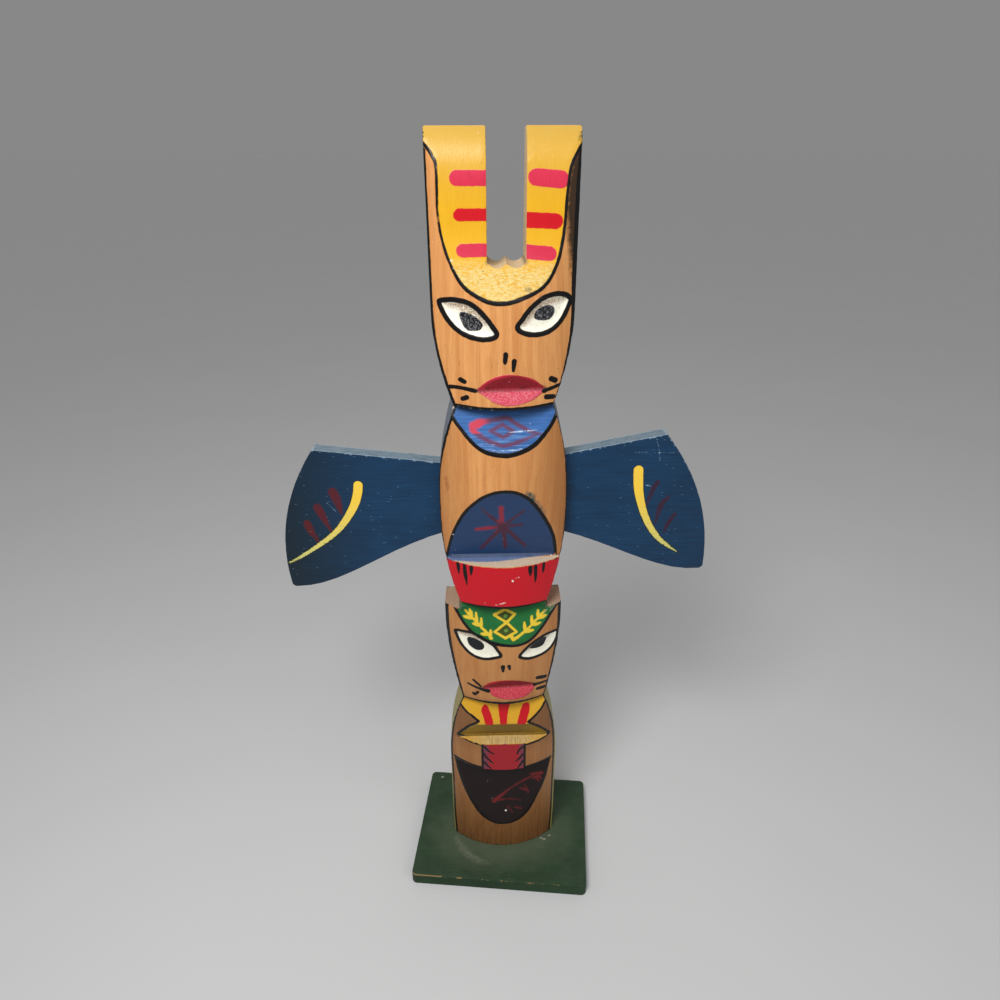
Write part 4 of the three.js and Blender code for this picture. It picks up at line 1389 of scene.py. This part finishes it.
# Painted highlights: pale glints on the mouths' upward-facing facets, for rough end grain catching the
# light.
lip_grain = noise(tree, place, 1.8, 3.0, 0.8)
glints = times(tree, between(tree, lip_grain, 0.44, 0.64, 0.1, 0.65), between(tree, facing[2], -0.1, 0.15))
glints = times(tree, glints, between(tree, height, 100.0, 200.0, 0.6, 1.0))
red = cover(tree, red, MOUTH_GLINT, times(tree, mouths, glints))
# Painted shade: the mouths' roof facets, which face downwards, are painted dark red.
roof = times(tree, mouths, between(tree, facing[2], -0.05, -0.3))
red = cover(tree, red, MOUTH_SHADE, times(tree, roof, between(tree, sparkle, 0.35, 0.6, 0.95, 0.7)))
red_mask = coat("red", 0.14, 0.12)
skin = cover(tree, skin, red, red_mask)
skin = cover(tree, skin, MAUVE, times(tree, coat("mauve", 0.2, 0.9), 0.85))

# %% Pole material: eyes, lines, stains, chips and painted shade
white_mask = coat("white", 0.05)
eye_paint = cover(tree, EYE_WHITE, EYE_AGED, between(tree, crumbly, 0.5, 0.7, 0.0, 0.5))
skin = cover(tree, skin, eye_paint, white_mask)
lid_scrapes = between(tree, noise(tree, place, 2.0, 4.0, 0.75), 0.36, 0.56)
lids = times(tree, times(tree, coat("scrape", 0.3, 0.9), lid_scrapes), white_mask)
skin = cover(tree, skin, LID_BROWN, times(tree, lids, 0.85))
# The pupils' grey speckles show only on their upward-facing lower halves: real speckles, with that half
# painted lighter as painted light.
grit = noise(tree, place, 1.7, 2.0, 0.8)
speckles_on_lit_half = times(tree, between(tree, grit, 0.5, 0.6, 0.0, 0.7),
                 between(tree, facing[2], -0.2, 0.05, 0.1, 1.0))
mottled = cover(tree, PUPIL_GREY, PUPIL_SPECK, speckles_on_lit_half)
pupil = cover(tree, PUPIL_PLAIN, mottled, calc(tree, "GREATER_THAN", height, 180.0))
skin = cover(tree, skin, pupil, coat("pupil", 0.1))
# Smears and stains, and the dark band on the right ear, which is partly painted shade; above 220 mm they are
# brown.
smear_and_shade_edge = calc(tree, "MULTIPLY_ADD", calc(tree, "SUBTRACT", noise(tree, place, 0.7, 4.0, 0.7), 0.5),
                  3.0, kept(tree, "smear_and_shade"))
full_depth = calc(tree, "MULTIPLY_ADD", calc(tree, "GREATER_THAN", height, 250.0), 0.5, 1.2)
smear_and_shade_mask = times(tree, between(tree, smear_and_shade_edge, -0.3, full_depth, 0.0, 0.96), line_front)
smear_and_shade_mask = times(tree, smear_and_shade_mask, without(tree, times(tree, coat("yellow", 0.06),
                                                         at_heights(262.0, 301.0))))
stain_or_teal = cover(tree, SMEAR_TEAL, BODY_STAIN, calc(tree, "LESS_THAN", parts[0], 0.0))
smear_and_shade_colour = cover(tree, stain_or_teal, STAIN_AND_SHADE_BROWN, calc(tree, "GREATER_THAN", height, 220.0))
skin = cover(tree, skin, smear_and_shade_colour, smear_and_shade_mask)
skin = cover(tree, skin, side_colour, side_mask)
line_edge = calc(tree, "SUBTRACT", kept(tree, "rim_half"), calc(tree, "ABSOLUTE", rim))
rim_line = use_group(tree, edge_group, Depth=line_edge, Place=place, Wobble=0.1, Softness=0.1,
                     Dryness=0.03).outputs[0]
has_rim = calc(tree, "GREATER_THAN", kept(tree, "rim_half"), 0.05)
rim_line = times(tree, times(tree, rim_line, has_rim), line_front)
black_mask = either(tree, coat("black", 0.1, 0.1, 0.02), rim_line)
skin = cover(tree, skin, LINE_BLACK, black_mask)
pale_colour = colour_by_height(tree, height, [(0, CHIP_PALE), (125, HEART_GREEN),
                                              (135.5, GREEN_SCRATCH), (138, CHIP_PALE),
                                              (204, BLUE_PALE_MARK), (219, CHIP_PALE)])
skin = cover(tree, skin, pale_colour, coat("pale", 0.2, 0.12, 0.15))

flecks = use_group(tree, fleck_group, Place=place, Size=0.4, Share=0.04).outputs[0]
skin = cover(tree, skin, CHIP_PALE, times(tree, flecks, 0.5))
other_place = put(tree, "ShaderNodeVectorMath", {0: place, 1: (31.0, 17.0, 53.0)},
                  operation="ADD").outputs[0]
dark_flecks = use_group(tree, fleck_group, Place=other_place, Size=0.6, Share=0.05).outputs[0]
skin = cover(tree, skin, FLECK_DARK, times(tree, dark_flecks, 0.7))
wear = use_group(tree, wear_group, Corner=kept(tree, "corner"), Place=place, Reach=0.45,
                 Share=0.2).outputs[0]
off_lines = without(tree, either(tree, black_mask, at_heights(219.5, 222.6)))
wear = times(tree, wear, times(tree, off_lines, 0.6))
skin = cover(tree, skin, WORN_WOOD, wear)
hollow = kept(tree, "hollow")
# Painted shade: points close to an inner corner are painted darker.
skin = cover(tree, skin, CORNER_SHADE, between(tree, hollow, 0.1, 1.2, 0.65, 0.0))
# Painted shadow: just under the two chins and the beak, the faces near the inner corner are painted dark
# brown or near black.
overhung = either(tree, at_heights(213.0, 221.6), either(tree, at_heights(128.0, 138.2),
                                                         at_heights(84.0, 93.4)))
overhung = times(tree, overhung, times(tree, front, between(tree, calc(tree, "ABSOLUTE", parts[0]), 8.0,
                                                            20.0, 1.0, 0.35)))
overhang_shade = times(tree, between(tree, hollow, 0.8, 3.6, 0.93, 0.0), overhung)
skin = cover(tree, skin, colour_by_height(tree, height, [(0, SHADE_BROWN), (110, SHADE_BLACK)]), overhang_shade)
dust = use_group(tree, dust_group, Place=place, Amount=0.16).outputs[0]
skin = cover(tree, skin, POLE_DUST, dust)
tree.links.new(skin, shader.inputs["Base Color"])

# %% Pole material: gloss and fine relief
gloss = blend(tree, between(tree, grain.outputs["Fine"], 0.3, 0.8, 0.38, 0.52), 0.85, sawn)
gloss = blend(tree, gloss, 0.33, coat("yellow", 0.05))
gloss = blend(tree, gloss, 0.62, end_grain)
gloss = blend(tree, gloss, 0.36, red_mask)
gloss = blend(tree, gloss, 0.4, black_mask)
tree.links.new(gloss, shader.inputs["Roughness"])
relief = times(tree, grain.outputs["Fine"], 0.06)
relief = calc(tree, "ADD", relief, times(tree, brush.outputs["Streaks"], 0.02))
relief = calc(tree, "ADD", relief, times(tree, black_mask, 0.05))
relief = calc(tree, "ADD", relief, times(tree, red_mask, 0.05))
rough_places = either(tree, either(tree, sawn, end_grain), times(tree, mouths, red_mask))
relief = calc(tree, "ADD", relief, times(tree, sparkle, times(tree, rough_places, 0.35)))
bump = put(tree, "ShaderNodeBump", {"Height": relief, "Distance": MM, "Strength": 0.7})
tree.links.new(bump.outputs[0], shader.inputs["Normal"])
shader.inputs["Specular IOR Level"].default_value = 0.3
print("pole finish has", len(tree.nodes), "nodes")

# %% [markdown]
# ## The wings' finish
# The wings are dark blue enamel, brushed from side to side. Their sawn edges are painted a paler
# grey-blue, most where they face upwards, as painted light from above. The yellow sweeps start
# thick at the top and run dry towards their points. Their sawn edges took less paint and
# look greyer. The yellow sweeps start thick at the top and run dry towards their points.

# %% Wing material
WING_BLUE = colour(16, 62, 98)
WING_DEEP = colour(11, 42, 70)
WING_EDGE_LIT = colour(122, 146, 160)
SWEEP_YELLOW = colour(250, 208, 70)
SWEEP_DRY = colour(210, 210, 124)
DROP_RED = colour(92, 22, 24)
DROP_PLUM = colour(60, 20, 38)
TIP_DARK = colour(16, 30, 36)
EDGE_STREAK = colour(70, 94, 112)
SWEEP_SHADOW_RIM = colour(14, 20, 20)
SWEEP_GAP = colour(110, 124, 84)
WING_SCRATCH = colour(150, 178, 200)
WING_FLECK = colour(120, 152, 178)
WING_WORN = colour(160, 184, 200)
WING_DUST = colour(176, 176, 172)

wing_finish, tree, shader, place = start_material("wing_enamel")
across = put(tree, "ShaderNodeMapping", {"Vector": place, "Rotation": (0, math.radians(90), 0)}).outputs[0]
brush = use_group(tree, brush_group, Place=across, Bristle=0.45)
facing = put(tree, "ShaderNodeSeparateXYZ", {0: put(tree,
                                                    "ShaderNodeNewGeometry").outputs["Normal"]}).outputs
front = between(tree, facing[1], -0.6, -0.4, 1.0, 0.0)
parts = put(tree, "ShaderNodeSeparateXYZ", {0: place}).outputs
skin = cover(tree, WING_BLUE, WING_DEEP, between(tree, brush.outputs["Streaks"], 0.1, 1.0, 0.0, 0.75))
skin = cover(tree, skin, WING_DEEP, between(tree, brush.outputs["Patches"], 0.2, 1.0, 0.0, 0.5))
sawn_edge = between(tree, calc(tree, "ABSOLUTE", facing[1]), 0.35, 0.6, 1.0, 0.0)
left_tip = between(tree, parts[0], -46.0, -82.0, 0.0, 0.85)
right_tip = between(tree, parts[0], 52.0, 84.0, 0.0, 0.25)
skin = cover(tree, skin, TIP_DARK, either(tree, left_tip, right_tip))
# Painted light: the sawn edges are a paler grey-blue, faintly all round and strongly where they face
# upwards.
lit_edge_marks = cover(tree, WING_EDGE_LIT, EDGE_STREAK, between(tree, brush.outputs["Streaks"], 0.35, 0.8, 0.0,
                                                         0.8))
skin = cover(tree, skin, lit_edge_marks, times(tree, sawn_edge, between(tree, facing[2], 0.0, 0.4, 0.1, 0.8)))


def wing_coat(name, wobble, softness, dryness):
    mask = use_group(tree, edge_group, Depth=kept(tree, name), Place=place, Wobble=wobble,
                     Softness=softness,
                     Dryness=dryness).outputs[0]
    return times(tree, mask, front)


blotchy = between(tree, noise(tree, place, 0.9, 4.0, 0.7), 0.35, 0.6, 0.6, 0.95)
drop_colour = cover(tree, DROP_RED, DROP_PLUM, calc(tree, "GREATER_THAN", parts[0], 0.0))
skin = cover(tree, skin, drop_colour, times(tree, wing_coat("glaze", 0.15, 0.35, 0.1), blotchy))
dry_end = between(tree, parts[2], 182.0, 158.0)
sweep = cover(tree, SWEEP_YELLOW, SWEEP_DRY, times(tree, dry_end, 0.9))
# Painted shadow: a thin dark rim just outside each yellow sweep.
sweep_shadow_rim = between(tree, kept(tree, "yellow"), -0.45, -0.1, 0.0, 0.75)
skin = cover(tree, skin, SWEEP_SHADOW_RIM, times(tree, sweep_shadow_rim, front))
dry_brush = times(tree, dry_end, 0.3)
skin = cover(tree, skin, sweep, wing_coat("yellow", 0.04, 0.1, dry_brush))
bristle_gaps = between(tree, noise(tree, stretched(tree, across, 1.6, 0.5), 1.0, 3.0, 0.7), 0.56, 0.66,
                       0.0, 0.6)
bristle_gaps = times(tree, times(tree, bristle_gaps, dry_end), wing_coat("yellow", 0.04, 0.1, 0.0))
skin = cover(tree, skin, SWEEP_GAP, bristle_gaps)
skin = cover(tree, skin, WING_SCRATCH, times(tree, wing_coat("pale", 0.1, 0.1, 0.3), 0.8))
long_place = put(tree, "ShaderNodeVectorMath", {0: place, 1: (0.3, 1.0, 1.3)},
                 operation="MULTIPLY").outputs[0]
flecks = use_group(tree, fleck_group, Place=long_place, Size=0.26, Share=0.5).outputs[0]
skin = cover(tree, skin, WING_FLECK, times(tree, flecks, 0.6))
wear = use_group(tree, wear_group, Corner=kept(tree, "corner"), Place=place, Reach=0.7,
                 Share=0.75).outputs[0]
wear = times(tree, wear, between(tree, facing[2], 0.05, 0.3, 0.0, 0.7))
skin = cover(tree, skin, WING_WORN, wear)
dust = use_group(tree, dust_group, Place=place, Amount=0.2).outputs[0]
skin = cover(tree, skin, WING_DUST, dust)
tree.links.new(skin, shader.inputs["Base Color"])
tree.links.new(between(tree, brush.outputs["Streaks"], 0.0, 1.0, 0.38, 0.52), shader.inputs["Roughness"])
relief = calc(tree, "ADD", times(tree, brush.outputs["Streaks"], 0.05),
              times(tree, wing_coat("yellow", 0.08, 0.1, 0.0), 0.08))
bump = put(tree, "ShaderNodeBump", {"Height": relief, "Distance": MM, "Strength": 0.6})
tree.links.new(bump.outputs[0], shader.inputs["Normal"])
shader.inputs["Specular IOR Level"].default_value = 0.3
print("wing finish has", len(tree.nodes), "nodes")

# %% [markdown]
# ## The base's finish
# The plate is a dull dark green. Its front edge is worn through to the wood in places, and dust
# has gathered round the pole's foot, where a cloth doesn't reach.

# %% Base material
BASE_GREEN = colour(28, 62, 30)
BASE_DEEP = colour(17, 40, 20)
BASE_WORN = colour(186, 150, 96)
DUST_GREEN = colour(104, 110, 88)
ARC_DUST = colour(140, 142, 122)
BASE_DUST = colour(150, 156, 144)
CRUMB_PALE = colour(168, 166, 148)

base_finish, tree, shader, place = start_material("base_enamel")
along_plate = put(tree, "ShaderNodeMapping", {"Vector": place,
                                              "Rotation": (0, math.radians(90), 0)}).outputs[0]
brush = use_group(tree, brush_group, Place=along_plate, Bristle=0.6)
skin = cover(tree, BASE_GREEN, BASE_DEEP, between(tree, brush.outputs["Streaks"], 0.1, 1.0, 0.0, 0.5))
skin = cover(tree, skin, BASE_DEEP, between(tree, brush.outputs["Patches"], 0.3, 1.0, 0.0, 0.5))
from_foot = put(tree, "ShaderNodeVectorMath", {0: put(tree, "ShaderNodeVectorMath",
                                                      {0: place, 1: (0, 3, 0)},
                operation="ADD").outputs[0], 1: (1.0, 1.6, 0.0)}, operation="MULTIPLY").outputs[0]
reach = put(tree, "ShaderNodeVectorMath", {0: from_foot}, operation="LENGTH").outputs["Value"]
cloudy = calc(tree, "MULTIPLY_ADD", noise(tree, place, 0.12, 5.0, 0.6), 14.0, reach)
skin = cover(tree, skin, DUST_GREEN, between(tree, cloudy, 28.0, 46.0, 0.4, 0.0))
arc = use_group(tree, edge_group, Depth=kept(tree, "dust_arc"), Place=place, Wobble=0.5,
                Softness=1.3).outputs[0]
arc = times(tree, arc, between(tree, noise(tree, place, 1.1, 4.0, 0.7), 0.38, 0.62, 0.12, 0.45))
skin = cover(tree, skin, ARC_DUST, arc)
dust = use_group(tree, dust_group, Place=place, Amount=0.1).outputs[0]
skin = cover(tree, skin, BASE_DUST, dust)
flecks = use_group(tree, fleck_group, Place=place, Size=0.4, Share=0.04).outputs[0]
skin = cover(tree, skin, BASE_WORN, times(tree, flecks, 0.5))
parts = put(tree, "ShaderNodeSeparateXYZ", {0: place}).outputs
skin = cover(tree, skin, CRUMB_PALE, use_group(tree, edge_group, Depth=kept(tree, "crumbs"), Place=place,
             Wobble=0.2, Softness=0.25, Dryness=0.1).outputs[0])
front_edge = times(tree, calc(tree, "LESS_THAN", parts[1], -24.0),
                   calc(tree, "GREATER_THAN", parts[2], 4.6))
worn_share = between(tree, parts[0], -34.0, -26.0, 1.4, 0.42)
worn_front = use_group(tree, wear_group, Corner=kept(tree, "corner"), Place=place, Reach=0.55,
                       Share=worn_share).outputs[0]
skin = cover(tree, skin, BASE_WORN, times(tree, times(tree, worn_front, front_edge), 0.65))
wear = use_group(tree, wear_group, Corner=kept(tree, "corner"), Place=place, Reach=0.45,
                 Share=0.25).outputs[0]
skin = cover(tree, skin, BASE_WORN, times(tree, wear, 0.5))
tree.links.new(skin, shader.inputs["Base Color"])
tree.links.new(between(tree, brush.outputs["Patches"], 0.0, 1.0, 0.45, 0.6), shader.inputs["Roughness"])
relief = times(tree, brush.outputs["Streaks"], 0.04)
bump = put(tree, "ShaderNodeBump", {"Height": relief, "Distance": MM, "Strength": 0.6})
tree.links.new(bump.outputs[0], shader.inputs["Normal"])
shader.inputs["Specular IOR Level"].default_value = 0.3
print("base finish has", len(tree.nodes), "nodes")

# %% [markdown]
# ## Putting the pieces in the frame
# Every piece takes its finish, is shaded smooth by angle and rides on the one body, and the CAD
# solid that it was made from is hidden.

# %% Finish, shading and places in the frame
for piece, finish, node, slot in (
        (pole, pole_finish, "carved_pole", "pole_wood"),
        (board, wing_finish, "wing_board", "blue_wing_paint"),
        (plate, base_finish, "base_plate", "green_base_paint")):
    piece.data.materials.append(finish)
    pick(piece)
    bpy.ops.object.shade_smooth_by_angle(angle=math.radians(40))
    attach(piece, "root")
    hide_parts(node)

# %% [markdown]
# ## Floor and light
# The floor is plain and pale, and goes on far behind the pole. One soft lamp hangs close above the
# camera, at its left. Because it is near, it gives the shine on the yellow ears, and its light
# falls off towards the foot. The rest of the room is a dim, even grey, which the camera sees as
# bright as the far floor, so that the horizon doesn't draw the eye.

# %% Floor
FLOOR_PALE = 0.72
bpy.ops.object.select_all(action="DESELECT")
bpy.ops.mesh.primitive_circle_add(vertices=96, radius=60.0, fill_type="NGON", location=(0, 0, 0))
floor = bpy.context.object
floor.name = "floor"
floor_finish, tree, shader, place = start_material("pale_floor")
cloud = noise(tree, place, 0.01, 4.0, 0.5)
tree.links.new(cover(tree, (FLOOR_PALE, FLOOR_PALE, FLOOR_PALE, 1), (0.69, 0.69, 0.69, 1), cloud),
               shader.inputs["Base Color"])
shader.inputs["Roughness"].default_value = 0.9
shader.inputs["Specular IOR Level"].default_value = 0.1
floor.data.materials.append(floor_finish)


# %% Lamps and the room's even light
def soft_light(name, place, target, size, power):
    data = bpy.data.lights.new(name, "AREA")
    data.shape = "DISK"
    data.size = size
    data.energy = power
    light = bpy.data.objects.new(name, data)
    bpy.context.scene.collection.objects.link(light)
    light.location = place
    light.rotation_euler = (Vector(target) - Vector(place)).to_track_quat("-Z", "Y").to_euler()


soft_light("key", (-0.12, -0.27, 0.52), (0, 0, 0.24), 0.2, 1.75)
soft_light("fill", (0.5, -0.6, 0.5), (0, 0, 0.15), 0.6, 0.8)
ROOM_LIGHT = 0.34
world = bpy.data.worlds.new("studio")
world.use_nodes = True
tree = world.node_tree
seen = put(tree, "ShaderNodeLightPath").outputs["Is Camera Ray"]
tree.links.new(between(tree, seen, 0.0, 1.0, ROOM_LIGHT, ROOM_LIGHT * FLOOR_PALE),
               tree.nodes["Background"].inputs["Strength"])
tree.nodes["Background"].inputs["Color"].default_value = (1, 1, 1, 1)
bpy.context.scene.world = world
bpy.context.scene.view_settings.view_transform = "Standard"
